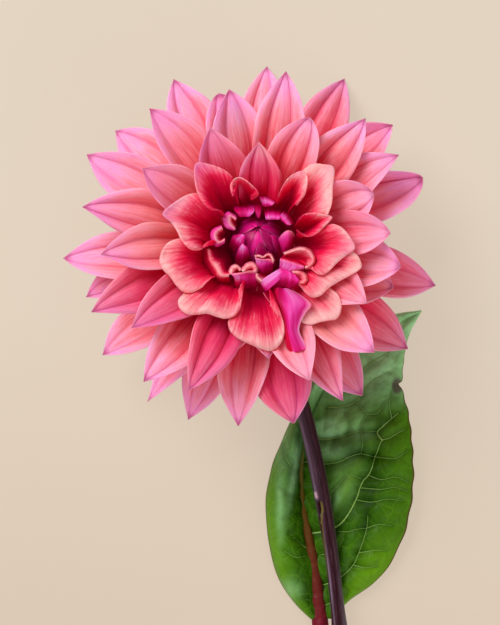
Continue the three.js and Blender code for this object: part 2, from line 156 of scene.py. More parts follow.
class Piece:
    """Collects blades and tubes into one mesh. It keeps one value per point for each name in plain, and the
    plain value is for parts that don't give their own."""

    def __init__(self, **plain):
        self.plain, self.points, self.faces, self.count = plain, [], [], 0
        self.values = {name: [] for name in plain}

    def add(self, points, quads, values):
        self.points.append(points.reshape(-1, 3))
        quads = np.concatenate([np.stack(corners, axis=1) for corners in quads])
        self.faces += (quads + self.count).tolist()
        self.count += len(self.points[-1])
        for name, plain in self.plain.items():
            value = np.broadcast_to(values.get(name, plain), points.shape[:-1])
            self.values[name].append(value.ravel())

    def blade(self, p, thickness, **values):
        nu, nv = p.shape[:2]
        half = grid_normals(p) * np.broadcast_to(thickness, (nu, nv))[..., None] / 2
        k = np.arange(nu * nv).reshape(nu, nv)
        a, b, c, d = (x.ravel() for x in (k[:-1, :-1], k[:-1, 1:], k[1:, 1:], k[1:, :-1]))
        m = nu * nv
        rim = np.concatenate([k[:-1, 0], k[-1, :-1], k[:0:-1, -1], k[0, :0:-1]])
        following = np.roll(rim, -1)
        quads = [(a, d, c, b), (a + m, b + m, c + m, d + m), (rim, rim + m, following + m, following)]
        side = np.array([0.0, 1.0])[:, None, None]
        self.add(np.stack([p + half, p - half]), quads, {"side": side, **values})

    def tube(self, rings, **values):
        """A closed tube through rings of points."""
        n, sides = rings.shape[:2]
        k = np.arange(n * sides).reshape(n, sides)
        r = np.roll(k, -1, axis=1)
        caps = (k[[0], ::-1] + self.count).tolist() + (k[[-1]] + self.count).tolist()
        self.add(rings, [[x.ravel() for x in (k[:-1], r[:-1], r[1:], k[1:])]], values)
        self.faces += caps

    def make(self, name, material, node, in_bloom=False):
        p = np.concatenate(self.points)
        if in_bloom:
            p = p @ TILT.T + RECEPTACLE
        p = (p + LAYOUT_ORIGIN) * MM
        mesh = bpy.data.meshes.new(name)
        mesh.from_pydata(p.tolist(), [], self.faces)
        mesh.update()
        for key, parts in self.values.items():
            data = mesh.attributes.new(key, "FLOAT", "POINT").data
            data.foreach_set("value", np.concatenate(parts).astype(np.float32))
        mesh.polygons.foreach_set("use_smooth", [True] * len(mesh.polygons))
        mesh.materials.append(material)
        piece = bpy.data.objects.new(name, mesh)
        bpy.context.collection.objects.link(piece)
        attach(piece, "root")
        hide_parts(node)


# Materials

# Which sockets of a mix node are its two colours, and what comes of them.
FIRST_COLOUR, SECOND_COLOUR, MIXED = 6, 7, 2
# How far apart two florets' seeds, from 0 to 1, can set them in the noise.
SEED_SPAN = 40


def srgb(r, g, b):
    def linear(c):
        c /= 255
        return c / 12.92 if c <= 0.04045 else ((c + 0.055) / 1.055) ** 2.4

    return (linear(r), linear(g), linear(b), 1)


class Value:
    """What a node gives; sums and products of it make math nodes."""

    def __init__(self, nodes, socket):
        self.nodes, self.socket = nodes, socket

    def __add__(self, other):
        return self.nodes.math("ADD", self, other)

    def __sub__(self, other):
        return self.nodes.math("SUBTRACT", self, other)

    def __rsub__(self, other):
        return self.nodes.math("SUBTRACT", other, self)

    def __mul__(self, other):
        return self.nodes.math("MULTIPLY", self, other)

    def __abs__(self):
        return self.nodes.math("ABSOLUTE", self)

    __radd__, __rmul__ = __add__, __mul__


class Nodes:
    """Short ways to write a node tree. Three numbers are a colour's red, green and blue, from 0 to 255."""

    def __init__(self, name, **settings):
        self.material = bpy.data.materials.new(name)
        self.material.use_nodes = True
        self.tree = self.material.node_tree
        self.shader = self.tree.nodes["Principled BSDF"]
        for key, value in settings.items():
            self.shader.inputs[key.replace("_", " ")].default_value = value

    def put(self, socket, value):
        if isinstance(value, Value):
            self.tree.links.new(value.socket, socket)
        else:
            socket.default_value = srgb(*value) if isinstance(value, tuple) else value

    def node(self, kind, output, inputs, **settings):
        """One output of a new node, whose inputs are given by name or number."""
        n = self.tree.nodes.new(kind)
        for key, value in settings.items():
            setattr(n, key, value)
        for key, value in inputs.items():
            self.put(n.inputs[key], value)
        return Value(self, n.outputs[output])

    def value(self, name):
        return self.node("ShaderNodeAttribute", "Fac", {}, attribute_name=name)

    def place(self):
        return self.node("ShaderNodeTexCoord", "Object", {})

    def math(self, operation, *numbers):
        return self.node("ShaderNodeMath", 0, dict(enumerate(numbers)), operation=operation)

    def step(self, a, b, x):
        inputs = {"Value": x, "From Min": a, "From Max": b}
        return self.node("ShaderNodeMapRange", 0, inputs, interpolation_type="SMOOTHSTEP")

    def vector(self, *parts):
        return self.node("ShaderNodeCombineXYZ", 0, dict(enumerate(parts)))

    def noise(self, vector, scale, detail, roughness=0.5):
        inputs = {"Vector": vector, "Scale": scale, "Detail": detail, "Roughness": roughness}
        return self.node("ShaderNodeTexNoise", "Fac", inputs)

    def fibres(self, stretch, scale, detail, roughness=0.6):
        """Noise drawn out along a floret, which is each floret's own."""
        place = self.vector(self.value("wide"), self.value("long") * stretch, self.value("seed") * SEED_SPAN)
        return self.noise(place, scale, detail, roughness)

    def cells(self, vector, scale):
        """The distance to the border of the nearest cell."""
        inputs = {"Vector": vector, "Scale": scale}
        return self.node("ShaderNodeTexVoronoi", "Distance", inputs, feature="DISTANCE_TO_EDGE")

    def ramp(self, x, *stops):
        """A run of colours, each given as its place and colour."""
        ramp = self.node("ShaderNodeValToRGB", "Color", {"Fac": x})
        elements = ramp.socket.node.color_ramp.elements
        while len(elements) < len(stops):
            elements.new(0.5)
        for element, (position, colour) in zip(elements, stops):
            element.position = position
            element.color = srgb(*colour)
        return ramp

    def mix(self, factor, a, b):
        inputs = {"Factor": factor, FIRST_COLOUR: a, SECOND_COLOUR: b}
        return self.node("ShaderNodeMix", MIXED, inputs, data_type="RGBA")

    def coats(self, colour, *coats):
        """A colour with others over it, each given as its share and colour."""
        for share, coat in coats:
            colour = self.mix(share, colour, coat)
        return colour

    def bump(self, height, strength, distance):
        inputs = {"Strength": strength, "Distance": distance, "Height": height}
        return self.node("ShaderNodeBump", "Normal", inputs)

    def finish(self, colour, roughness, normal=None):
        self.put(self.shader.inputs["Base Color"], colour)
        self.put(self.shader.inputs["Roughness"], roughness)
        if normal is not None:
            self.put(self.shader.inputs["Normal"], normal)
        return self.material


def petal_material():
    # The petals glow faintly crimson: painted light that stands in for light shining through and between
    # them.
    m = Nodes(
        "petal", Subsurface_Weight=0.4, Subsurface_Radius=(1, 0.14, 0.22), Subsurface_Scale=0.0045,
        Specular_IOR_Level=0.12, Emission_Color=srgb(210, 0, 60), Emission_Strength=0.05,
    )
    along, level, rim, cast = (m.value(name) for name in ("along", "level", "rim", "cast"))
    fibre = m.fibres(0.03, 0.9, 4, 0.62)
    fine = m.fibres(0.05, 3.2, 2)
    blotch = m.fibres(0.6, 0.16, 3, 0.55)
    # How far the floret's colours have run from crimson at its root (0) to pale at its tip (1). Each
    # floret's own shift of it is partly its own tone and partly painted light and shade: lower where it lies
    # in shade, higher where it is lit.
    ripe = along + m.value("ripe") + 0.6 * (fibre - 0.5) + 0.4 * (blotch - 0.5)
    ripe_and_shade_outer = ripe + 0.1 * m.step(4.5, 0.3, rim)
    outer = m.ramp(
        ripe_and_shade_outer, (0, (154, 0, 32)), (0.22, (200, 6, 46)), (0.38, (224, 46, 76)), (0.54, (238, 96, 108)),
        (0.72, (248, 138, 150)), (0.88, (252, 160, 188)), (1, (246, 156, 204)),
    )
    inner = m.ramp(
        ripe - 0.06 + 0.08 * m.step(7, 0.3, rim), (0, (148, 0, 40)), (0.34, (194, 0, 54)),
        (0.5, (216, 10, 64)), (0.64, (230, 58, 92)), (0.78, (241, 108, 124)), (1, (252, 168, 168)),
    )
    edge = m.step(0.8, 0.15, rim) * m.step(0.3, 0.7, along) * m.step(0.25, 0.62, blotch)
    face = m.coats(
        m.mix(m.step(0.5, 0.92, level), outer, inner),
        # Each floret has its own cast, from rose to peach; this is partly its own tint and partly painted
        # shade, rose where the floret lies in shade.
        (0.3 * m.step(0, 1, cast), (204, 50, 112)),
        (0.4 * m.step(0, -1, cast) * m.step(1, 0.75, along), (252, 150, 132)),
        # Fine streaks, dark and pale, and two creases that are dark rose, or purple near the tip; the
        # darkening in the creases is partly the floret's own colour and partly painted shade.
        (0.3 * m.step(0.52, 0.72, fine), (206, 34, 84)),
        (0.25 * m.step(0.5, 0.28, fine) * m.step(0.4, 0.8, ripe_and_shade_outer), (255, 190, 196)),
        (0.36 * m.value("groove"), m.mix(m.step(0.6, 1, along), (214, 34, 72), (156, 44, 120))),
        # A purple tint towards the tip, heavier on one side: partly the floret's own colour and partly
        # painted shade.
        (0.6 * m.value("dusk"), (172, 76, 146)),
        (0.9 * m.step(0.93, 1, along) * m.step(1.05, 0.4, level), (142, 48, 108)),
        (edge * (0.45 - 0.3 * level), m.mix(level, (255, 190, 214), (255, 172, 176))),
    )
    # The violet backs of the small florets; how light they are is partly their own colour and partly painted
    # highlight and shade.
    violet = m.ramp(
        m.value("pale") + 1.2 * (fibre - 0.5), (0, (150, 0, 60)), (0.25, (186, 0, 88)),
        (0.55, (222, 34, 136)), (0.8, (234, 86, 172)), (1, (240, 132, 200)),
    )
    reverse = m.coats(
        m.mix(level, (240, 130, 176), violet),
        (0.6 * m.step(0.5, 0, along), m.mix(level, (236, 150, 160), (120, 0, 44))),
        (0.6 * m.step(0.9, 0.15, rim), (255, 160, 180)),
    )
    colour = m.mix(m.value("side") + m.value("turned"), face, reverse)
    return m.finish(colour, 0.42 + 0.2 * fine, m.bump(0.4 * fine + 0.6 * fibre, 0.6, 0.0005))


def bud_material():
    m = Nodes(
        "bud", Subsurface_Weight=0.1, Subsurface_Radius=(1, 0.25, 0.4), Subsurface_Scale=0.0015,
        Specular_IOR_Level=0.2,
    )
    along, away = m.value("along"), abs(m.value("across"))
    fibre = m.fibres(0.1, 1.6, 3)
    colour = m.coats(
        m.mix(m.step(0.3, 0.95, m.value("seed")), (156, 0, 82), (214, 14, 126)),
        # Darker at the sides of each closed floret, where they meet, and at their feet low in the bloom:
        # painted shade.
        (0.7 * m.step(0.35, 0.95, away), (110, 0, 50)),
        (0.8 * m.step(0.5, 0.05, along), (90, 0, 30)),
        (0.35 * m.step(0.5, 0.75, fibre), (226, 76, 172)),
        (0.3 * m.step(0.09, 0, abs(away - 0.72)) * m.step(0.5, 0.7, along), (236, 110, 180)),
    )
    return m.finish(colour, 0.26 + 0.2 * fibre, m.bump(fibre, 0.4, 0.0004))


def bract_material():
    m = Nodes("bract", Subsurface_Weight=0.1, Subsurface_Scale=0.002)
    fibre = m.fibres(0.12, 1.2, 3)
    green = m.ramp(m.value("along"), (0, (120, 140, 70)), (0.5, (104, 138, 60)), (1, (126, 104, 62)))
    colour = m.mix(0.4 * m.step(0.4, 0.7, fibre), green, (158, 174, 102))
    return m.finish(colour, 0.5, m.bump(fibre, 0.4, 0.0004))


def stem_material():
    m = Nodes("stem", Specular_IOR_Level=0.1)
    along, around = m.value("along"), m.value("around")
    across, height = m.math("COSINE", around), m.math("SINE", around)
    streak = m.noise(m.vector(height, across, along * 0.012), 7, 4, 0.65)
    patch = m.noise(m.vector(height, across, along * 0.05), 1.6, 3)
    # Seen from the front the skin runs from a greyish left edge over dark plum to a mauve right side; the
    # greyish left edge and the lighter right edge are painted highlights.
    skin_and_highlights = m.ramp(
        0.5 * across + 0.5, (0, (70, 52, 64)), (0.1, (124, 108, 128)), (0.24, (60, 28, 42)),
        (0.5, (32, 5, 12)), (0.72, (56, 26, 36)), (0.9, (40, 14, 22)), (1, (96, 76, 80)),
    )
    colour = m.coats(
        skin_and_highlights,
        # Painted highlights: greyish mauve on the left near the bloom, grey on the right lower down.
        (0.5 * m.step(120, 60, along) * m.step(0.5, -0.7, across), (110, 88, 108)),
        (0.7 * m.step(100, 180, along) * m.step(0.1, 0.9, across), (122, 114, 124)),
        (0.45 * m.step(0.4, 0.7, patch), (40, 16, 20)),
        (0.5 * m.step(0.52, 0.7, streak), (112, 82, 92)),
        (0.4 * m.step(170, 205, along), (74, 72, 50)),
        (m.value("cut"), (176, 178, 128)),
        (m.value("groove"), (50, 4, 10)),
        (0.8 * m.value("green"), (112, 104, 44)),
        (m.value("pit"), (36, 4, 8)),
        (0.7 * m.value("pale"), (206, 168, 182)),
    )
    return m.finish(colour, 0.24 + 0.25 * streak, m.bump(streak, 0.4, 0.0004))


def leaf_material():
    m = Nodes(
        "leaf", Specular_IOR_Level=0.07, Subsurface_Weight=0.05, Subsurface_Radius=(0.3, 1, 0.1),
        Subsurface_Scale=0.002,
    )
    place = m.place()
    cells, small_cells = m.cells(place, 170), m.cells(place, 440)
    small_net = m.step(0.1, 0, small_cells)
    patch = m.noise(place, 55, 5, 0.65)
    glint = m.step(0.36, 0.62, m.noise(place, 150, 3, 0.6))
    stalk = m.ramp(
        m.value("along"), (0, (92, 6, 30)), (0.16, (104, 18, 36)), (0.26, (96, 40, 26)), (0.4, (92, 74, 18)),
        (0.7, (140, 164, 72)), (1, (130, 160, 80)),
    )
    colour = m.coats(
        m.mix(m.step(0.34, 0.66, patch), (12, 46, 0), (38, 84, 0)),
        # Yellow-green, partly the leaf's own colour and partly painted light.
        (m.value("light"), (102, 152, 8)),
        # Lighter green away from the main veins, darker in the valleys along them: painted shade.
        (0.25 * m.step(0.3, 3, m.value("main")), (60, 108, 24)),
        (0.2 * m.step(0.07, 0, cells), (100, 146, 24)),
        (0.1 * small_net, (100, 146, 24)),
        # Painted sheen and highlights, broken up by a painted glint.
        (m.value("haze") * (0.75 + 0.4 * glint), (156, 210, 148)),
        (m.value("shade"), (12, 42, 0)),
        (0.8 * m.step(0.975, 0.995, m.value("margin")), (82, 34, 24)),
        (0.85 * m.step(0.25, 0.7, m.value("spot")), (74, 52, 56)),
        (m.value("side"), m.mix(0.5 * small_net, (120, 150, 96), (160, 184, 132))),
        (m.value("rib"), stalk),
    )
    height = m.step(0, 0.34, cells) + 0.2 * m.step(0, 0.3, small_cells) + 0.5 * m.noise(place, 260, 3)
    return m.finish(colour, 0.34 + 0.16 * patch, m.bump(height, 0.5, 0.0006))


def vein_material():
    m = Nodes("vein", Specular_IOR_Level=0.3)
    return m.finish(m.mix(m.value("strong"), (84, 128, 34), (138, 178, 88)), 0.45)


def floor_material():
    """A pale table that glows faintly, so that shadows on it are soft."""
    m = Nodes("table", Specular_IOR_Level=0, Emission_Color=srgb(197, 182, 164), Emission_Strength=1)
    place = m.place()
    x, y = (m.node("ShaderNodeSeparateXYZ", axis, {0: place}) for axis in "XY")
    colour = m.mix(m.step(0.08, -0.16, 0.25 * x + y), (113, 110, 103), (99, 83, 72))
    return m.finish(m.mix(0.1 * m.noise(place, 14, 5, 0.6), colour, (60, 50, 40)), 0.9)


# The bloom: what all its florets share

ALONG = 1 - (1 - np.linspace(0, 1, 34)) ** 1.15
ACROSS = np.array([-1, -0.95, -0.86, -0.74, -0.62, -0.5, -0.44, -0.4, -0.36, -0.26, -0.13, 0])
ACROSS = np.concatenate([ACROSS, -ACROSS[-2::-1]])
FINE = np.linspace(0, 1, 200)
WIDEST_AT, GROOVE_AT = 0.6, 0.4
PERSPECTIVE_ROUNDS = 3
FLORET_THICKNESS, FAN_THICKNESS, CURL_THICKNESS, SIDEWAYS_THICKNESS = 0.5, 0.5, 0.36, 0.45
# The point values that colour a floret, where it has none of its own.
FLORET_VALUES = dict(
    along=0.02, level=1, seed=0.5, side=0, turned=0, pale=0.2, wide=0, long=0, groove=0, rim=9, ripe=0,
    dusk=0, cast=0,
)


def outline(s, blunt, full):
    """Half width of a floret, as a share of the widest, from root (0) to tip (1)."""
    rising = 0.36 + 0.64 * np.sin(np.pi / 2 * np.clip(s / WIDEST_AT, 0, 1)) ** 1.3
    x = np.clip((s - WIDEST_AT) / (1 - WIDEST_AT), 0, 1)
    falling = (1 - blunt) * (1 - x**full) + blunt * np.sqrt(np.maximum(0, 1 - x**3.2))
    return np.maximum(np.where(s < WIDEST_AT, rising, falling), 0.015)


def aim(run, rise, bend, curve):
    """Length and first elevation of a blade that ends at run, rise and curves down by bend degrees."""
    f = (np.arange(len(FINE)) + 0.5) / len(FINE)
    chord = np.mean(np.exp(-1j * np.radians(bend) * f**curve))
    return math.hypot(run, rise) / abs(chord), math.degrees(math.atan2(rise, run) - np.angle(chord))


def floret(
    azimuth, root, length, start, bend, width, trough, blunt=0.0, full=1.8, side=0.0, twist=0.0, fold=0.5,
    wave=0.03, curve=1.0, ripple=0.015, skew=0.0, edge=0.0, phase=0.0, dusk=0.0, thickness=FLORET_THICKNESS,
    **colours,
):
    """A grooved, curved blade whose tip points to azimuth: its points, thickness and what colours them."""
    s, t = ALONG[:, None], ACROSS[None, :]
    tilt = np.radians(start - bend * FINE**curve)
    heading = np.radians(side) * (FINE - 0.25) ** 2 * 2
    forward = ball(heading, tilt)
    spine = sample(np.cumsum(forward, axis=0) * length / len(FINE) + (root[0], 0, root[1]), ALONG)
    heading = np.interp(ALONG, FINE, heading)
    flat = np.stack([-np.sin(heading), np.cos(heading), 0 * ALONG], axis=1)
    upper = unit(np.cross(unit(sample(forward, ALONG)), flat))
    turn = np.radians(twist) * s**1.3
    across = flat * np.cos(turn) + upper * np.sin(turn)
    upper = upper * np.cos(turn) - flat * np.sin(turn)
    half = width * outline(s, blunt, full)
    curl = np.radians(mix(trough, s) + 12 * smoothstep(0.82, 1, s))
    frill = 1 + ripple * np.sin(2 * np.pi * (2.3 * s + phase) + 2.2 * np.sign(t)) * smoothstep(0.3, 0.7, s)
    lopsided = 1 + skew * np.sign(t) * smoothstep(0.35, 0.95, s)
    away = np.abs(t)
    # Two creases part the floret into a middle ridge and two side panels, each with a round back.
    ridge = np.cos(np.pi / 2 * np.clip(away / GROOVE_AT, 0, 1)) * 0.75
    panel = np.sin(np.pi * np.clip((away - GROOVE_AT) / (1 - GROOVE_AT), 0, 1)) ** 0.8
    creased = smoothstep(0.12, 0.5, s) * (1 - 0.75 * smoothstep(0.8, 1, s)) * (0.35 + fold)
    folded = smoothstep(0.15, 0.5, s)
    groove = dip(away - GROOVE_AT, 0.09) * folded * min(1.3, 0.3 + fold)
    folds = np.sin(np.pi * (2.6 * t + 2 * phase)) * (1 - t**2) * folded * (1 - smoothstep(0.85, 1, s))
    x = half * np.sin(curl * t) / curl * frill * lopsided
    y = half * (1 - np.cos(curl * t)) / curl
    y = y + half * (0.12 * (ridge + panel) * creased - 0.05 * groove + 0.03 * folds)
    y = y + half * wave * away**2.5 * np.sin(2 * np.pi * (1.7 * s + phase) + np.sign(t) * 1.3)
    y = y - half * edge * np.maximum(0, (away - 0.55) / 0.45) ** 2 * smoothstep(0.3, 0.8, s)
    p = spine[:, None] + across[:, None] * x[..., None] + upper[:, None] * y[..., None]
    turn_by = azimuth - math.atan2(spine[-1, 1], spine[-1, 0])
    c, sn = math.cos(turn_by), math.sin(turn_by)
    p = p @ np.array([[c, sn, 0], [-sn, c, 0], [0, 0, 1]])
    rim = np.minimum(half * (1 - away), length * (1 - s) * 0.7)
    # A purple tint towards the tip, heavier on one side: partly the floret's own colour and partly painted
    # shade.
    dusk = dusk * smoothstep(0.4, 1, s) * (0.6 + 0.4 * t)
    values = dict(along=s, wide=width * t, long=length * s, groove=groove, rim=rim, dusk=dusk, **colours)
    return p, thickness * (1 - 0.55 * away**3) * (1 - 0.35 * s), values


def local(x, y, height):
    """Where the point at a height in the bloom's own frame, which leans, lies if it is seen at (x, y)."""
    a, b = x, y
    for _ in range(PERSPECTIVE_ROUNDS):
        rise = TILT[2, 0] * a + TILT[2, 1] * b + TILT[2, 2] * height + RECEPTACLE[2]
        scale = 1 + (PLANE - rise) / DISTANCE
        flat = [
            middle + (seen - middle) * scale - foot - drift * height
            for middle, seen, foot, drift in zip(VIEW_MIDDLE, (x, y), RECEPTACLE, TILT[:2, 2])
        ]
        a, b = np.linalg.solve(TILT[:2, :2], flat)
    return a, b


CELL, CELLS, CLEARANCE = 0.5, 340, 0.9
# A floret gives way fully beyond LOOSE_FROM from the bloom's axis, and not at all within FIRM_TO. How far it
# gives way is evened out over a WINDOW of its own points, EVENED times.
FIRM_TO, LOOSE_FROM = 15, 24
EVENED, WINDOW = 6, 5
# How many points it is laid over the grid with, for each of its own along and across.
FINER_ALONG, FINER_ACROSS = 5, 4
# How far each kind of floret may be pressed down by those in front of it.
CURL_GIVES, SIDEWAYS_GIVES, FAN_GIVES, OPEN_GIVES = 0, 5, 6, 14


class Canopy:
    """The lowest height of the florets already in place, over a grid below the bloom."""

    def __init__(self):
        self.low = np.full((CELLS, CELLS), FAR)

    def cells(self, p):
        return tuple(np.clip((p[..., k] / CELL + CELLS / 2).astype(int), 0, CELLS - 1) for k in (0, 1))

    def lay(self, piece, floret, most):
        """Presses a floret down where florets in front of it lie over it, and adds it to a piece."""
        p, thickness, values = floret
        limit = self.low[self.cells(p)] - CLEARANCE
        loose = smoothstep(FIRM_TO, LOOSE_FROM, np.hypot(p[..., 0], p[..., 1]))
        excess = np.clip(p[..., 2] - limit, 0, most) * loose
        push = excess
        for _ in range(EVENED):
            wide = np.pad(push, WINDOW // 2, mode="edge")
            shifts = np.ndindex(WINDOW, WINDOW)
            windows = (wide[i:, j:][: push.shape[0], : push.shape[1]] for i, j in shifts)
            push = np.maximum(sum(windows) / WINDOW**2, excess)
        p = p - push[..., None] * (0, 0, 1)
        self.cover(p)
        piece.blade(p, thickness, **values)

    def cover(self, p):
        """Notes how low a floret lies."""
        rows = np.linspace(0, p.shape[0] - 1, p.shape[0] * FINER_ALONG)
        columns = np.linspace(0, p.shape[1] - 1, p.shape[1] * FINER_ACROSS)
        i = np.floor(rows).astype(int).clip(0, p.shape[0] - 2)
        j = np.floor(columns).astype(int).clip(0, p.shape[1] - 2)
        a, b = (rows - i)[:, None, None], (columns - j)[None, :, None]
        left, right = (p[i][:, j + k] * (1 - a) + p[i + 1][:, j + k] * a for k in (0, 1))
        fine = left * (1 - b) + right * b
        np.minimum.at(self.low, self.cells(fine), fine[..., 2])


# The bloom: small half-open florets round the bud

# Each is a run of rows from its root to its end. A row has its height, or its heights from one side to the
# other, how ripe, how turned and how violet it is, and its points as pixels of the 500 by 625 picture. How
# light the violet is is partly its own colour and partly painted highlight and shade.
PICTURE_MIDDLE = (258, 238)
MM_PER_PIXEL = 0.37
CURL_COLUMNS, STEPS_PER_ROW = 25, 5
TOP_LEFT_TIP = [
    (20, 0.3, 1, 0.2, (235, 206), (244, 203.5), (254, 204)),
    (28, 0.6, 1, 0.6, (234, 209), (244, 207.8), (254, 207.5)),
    (30.6, 0.8, 1, 0.75, (235.5, 211.5), (245, 209.5), (254.5, 210.5)),
    (31.2, 0.9, 1, 1, (237.5, 214), (245, 213), (252.5, 213.5)),
    (30.6, 1, 1, 0.7, (239.5, 216.7), (245, 216.5), (249.5, 216.4)),
    (29, 0.3, 1, 0, (240, 216), (245, 215.5), (249.5, 215.4)),
]
TOP_NARROW_TIP = [
    (24, 0.3, 1, 0, (253.5, 205), (257.5, 204), (262, 205)),
    (29.5, 0.6, 1, 0.1, (254.5, 207.5), (257.8, 207), (261.5, 207.5)),
    (31.3, 0.8, 1, 0.2, (255.3, 212), (258, 211.5), (261, 212)),
    (31.2, 0.9, 1, 0.3, (256.8, 216), (258.2, 216), (260, 216)),
    (30, 1, 1, 0.3, (258, 217.8), (258.5, 218), (259, 217.8)),
]
TOP_MIDDLE_TIP = [
    (22, 0.3, 1, 0, (264, 208), (272, 207), (281, 209)),
    (28.5, 0.5, 1, 0.1, (264.5, 212), (272.5, 211), (281, 213)),
    (30.6, 0.8, 1, 0.5, (265, 215), (272.5, 214), (280.5, 215.5)),
    (31.2, 0.9, 1, 0.9, (265.5, 218), (272.5, 217.3), (280, 218)),
    (30.4, 1, 1, 0.7, (266, 219.6), (272.5, 219.3), (279, 219.6)),
    (29, 0.3, 1, 0, (266.5, 219), (272.5, 218.6), (278.6, 219)),
]
TOP_RIGHT_TIP = [
    (22, 0.3, 1, 0, (284, 210), (291, 216), (294, 224)),
    (28.5, 0.6, 1, 0.4, (282.5, 212.5), (288, 217), (292, 224.5)),
    (31, 0.9, 1, 0.9, (281.5, 214), (285.5, 218.5), (290.5, 225)),
    (31.3, 0.9, 1, 0.6, (280.3, 216), (283.5, 220.3), (288.5, 225)),
    (30, 0.5, 1, 0.1, (279.6, 218), (282.3, 221.3), (286.5, 224.6)),
]
TOP_BACK_TIP = [
    (22, 0.3, 1, 0.2, (259, 196), (267, 197), (276, 202)),
    (31, 0.8, 1, 0.7, (260, 199.3), (267, 199.2), (274.5, 203)),
    (32.6, 0.9, 1, 1, (261, 201), (267, 201.5), (273, 204.3)),
    (32.8, 0.8, 1, 0.6, (261.8, 203.3), (267, 203.8), (272, 205.2)),
    (31.6, 0.5, 1, 0, (262.6, 205.8), (267, 206.6), (270.5, 206)),
    (30, 0.3, 1, 0, (263, 205.5), (267, 206), (270, 205.6)),
]
UPPER_LEFT_CURL = [
    (18, 0.3, 1, 0.1, (237, 217), (232, 214), (227.8, 213), (224, 218.5), (226, 226), (234, 229.5)),
    (30, 0.8, 1, 0.5, (236.4, 217), (232, 213.8), (227.5, 212.3), (223.4, 218), (225.5, 227), (234, 230.5)),
    (32.5, 1, 0.9, 0.6, (236.4, 218.4), (232, 215.4), (228.8, 214.6), (226.8, 219.5), (229, 225.5),
     (235, 229.9)),
    (32.6, 1, 0.2, 0.5, (236, 219.8), (232.4, 217.1), (230.2, 216.9), (229.7, 220), (231.2, 224.6),
     (235.4, 229.2)),
    (29, 0.45, 0, 0, (235.6, 221), (233.2, 219), (232.2, 219), (232, 220.8), (233, 224), (235.4, 227.8)),
    (23, 0.1, 0, 0, (237, 222), (236, 221.5), (235.5, 221.5), (235.5, 222.5), (236, 224), (237, 226)),
]
LEFT_CUP = [
    (18, 0.3, 1, 0.1, (222.5, 226), (214, 230), (211.4, 235), (213.6, 243), (217.4, 246), (225, 242)),
    (30, 0.8, 1, 0.45, (221.5, 225.6), (213.5, 229.3), (210.6, 235), (213, 243), (217, 246.7),
     (224.6, 242.7)),
    (32.5, 1, 0.9, 0.55, (222, 226.8), (215.8, 230.3), (213.2, 235), (215, 241.8), (218.2, 243.9),
     (224.6, 241)),
    (32.6, 1, 0.2, 0.5, (222.5, 228.4), (217.8, 231.2), (215.8, 235.5), (217.2, 240.4), (220, 242.2),
     (224.8, 239.6)),
    (28.5, 0.45, 0, 0, (223.2, 230.5), (220.4, 232), (218.8, 235.6), (219.6, 239), (221.5, 240.3),
     (224.8, 238.2)),
    (22, 0.1, 0, 0, (226, 232.5), (224.5, 233.5), (223.6, 235.6), (224, 237.3), (225, 238), (226.5, 237)),
]
SALMON_EDGE_LOWER_LEFT = [
    (20, 0.2, 0, 0, (203, 247), (203, 262), (211, 276), (220, 285), (233, 284)),
    (29.5, 0.6, 0, 0.4, (206.8, 248.6), (208.1, 260.2), (214.4, 269.8), (219.4, 277.9), (228.8, 277.9)),
    (31.6, 1, 0, 0, (208.2, 248.8), (210, 258.6), (216.2, 266.8), (221.6, 275.4), (229, 276)),
    (31.4, 0.75, 0, 0, (209.6, 249.2), (212.6, 257.8), (219, 264.8), (223.8, 273.2), (229.4, 274.4)),
    (28.5, 0.15, 0, 0, (212, 250), (216.6, 256.4), (222.6, 262.4), (226.4, 270.4), (230, 272.6)),
    (23, 0.05, 0, 0, (217, 249.6), (221.4, 254.6), (226, 260), (228.8, 267), (231, 270.4)),
    (17, 0.05, 0, 0, (224, 249), (227, 252), (229.6, 257), (231, 263), (232, 267)),
]
DOUBLE_CUP_FRONT = [
    (22, 0.4, 1, 0, (233, 287), (240, 289), (248, 289), (258, 287)),
    (28, 0.8, 1, 0.3, (235, 283.2), (241, 283.8), (248, 284.8), (256.8, 283.4)),
    (30.6, 0.9, 1, 0.8, (234.6, 280), (241, 279.5), (248, 279.4), (256.6, 279)),
    (31.8, 1, 1, 0.7, (233.6, 276.8), (240.6, 275.4), (248, 273.8), (256.8, 274)),
    (32.2, 1, 0.5, 0.5, (231, 274.2), (238, 273.9), (244.4, 272.5), (249, 271.5), (256.6, 271.6)),
    (29, 0.2, 0, 0, (232.6, 273.2), (238, 272.9), (244.4, 271.6), (249, 270.6), (255, 270.6)),
]
DOUBLE_CUP_LEFT_BOWL = [
    (29.5, 0.9, 0.8, 0.3, (229.2, 275), (228.8, 270.8), (231.6, 265.8), (237, 264.8), (242.8, 269.6)),
    (32, 1, 0, 0, (230.4, 274.4), (230.8, 270.8), (233, 267.2), (237, 266.4), (241.2, 270.2)),
    (31.6, 0.85, 0, 0, (232.6, 273.8), (233.4, 271.2), (235, 269), (237.4, 268.3), (240, 270.9)),
    (29, 0.4, 0, 0, (234.6, 273.4), (235.4, 271.6), (236.6, 270.4), (238, 270.2), (239.4, 271.6)),
    (26, 0.1, 0, 0, (236.6, 273), (237, 272.4), (237.6, 272.2), (238.2, 272.2), (238.8, 272.4)),
]
DOUBLE_CUP_RIGHT_BOWL = [
    (30, 0.9, 0.8, 0.3, (240.6, 270.4), (242.8, 266.8), (247, 263), (252.8, 262), (257.6, 266),
     (257.8, 272.4)),
    (32.4, 1, 0, 0, (242.4, 271.4), (244.6, 268.4), (248, 265.2), (252.4, 264.2), (255.8, 267.4),
     (255.8, 272.2)),
    (31.8, 0.85, 0, 0, (244.4, 272), (246.2, 269.8), (248.8, 268), (252, 267.4), (253.6, 269),
     (253.2, 272)),
    (29.4, 0.4, 0, 0, (246.6, 272.2), (247.8, 271), (249.6, 270), (251.6, 269.8), (252.4, 270.6),
     (251.8, 272)),
    (26, 0.1, 0, 0, (248.6, 272.4), (249, 272), (249.6, 271.6), (250.6, 271.6), (251, 271.8),
     (250.6, 272.4)),
]
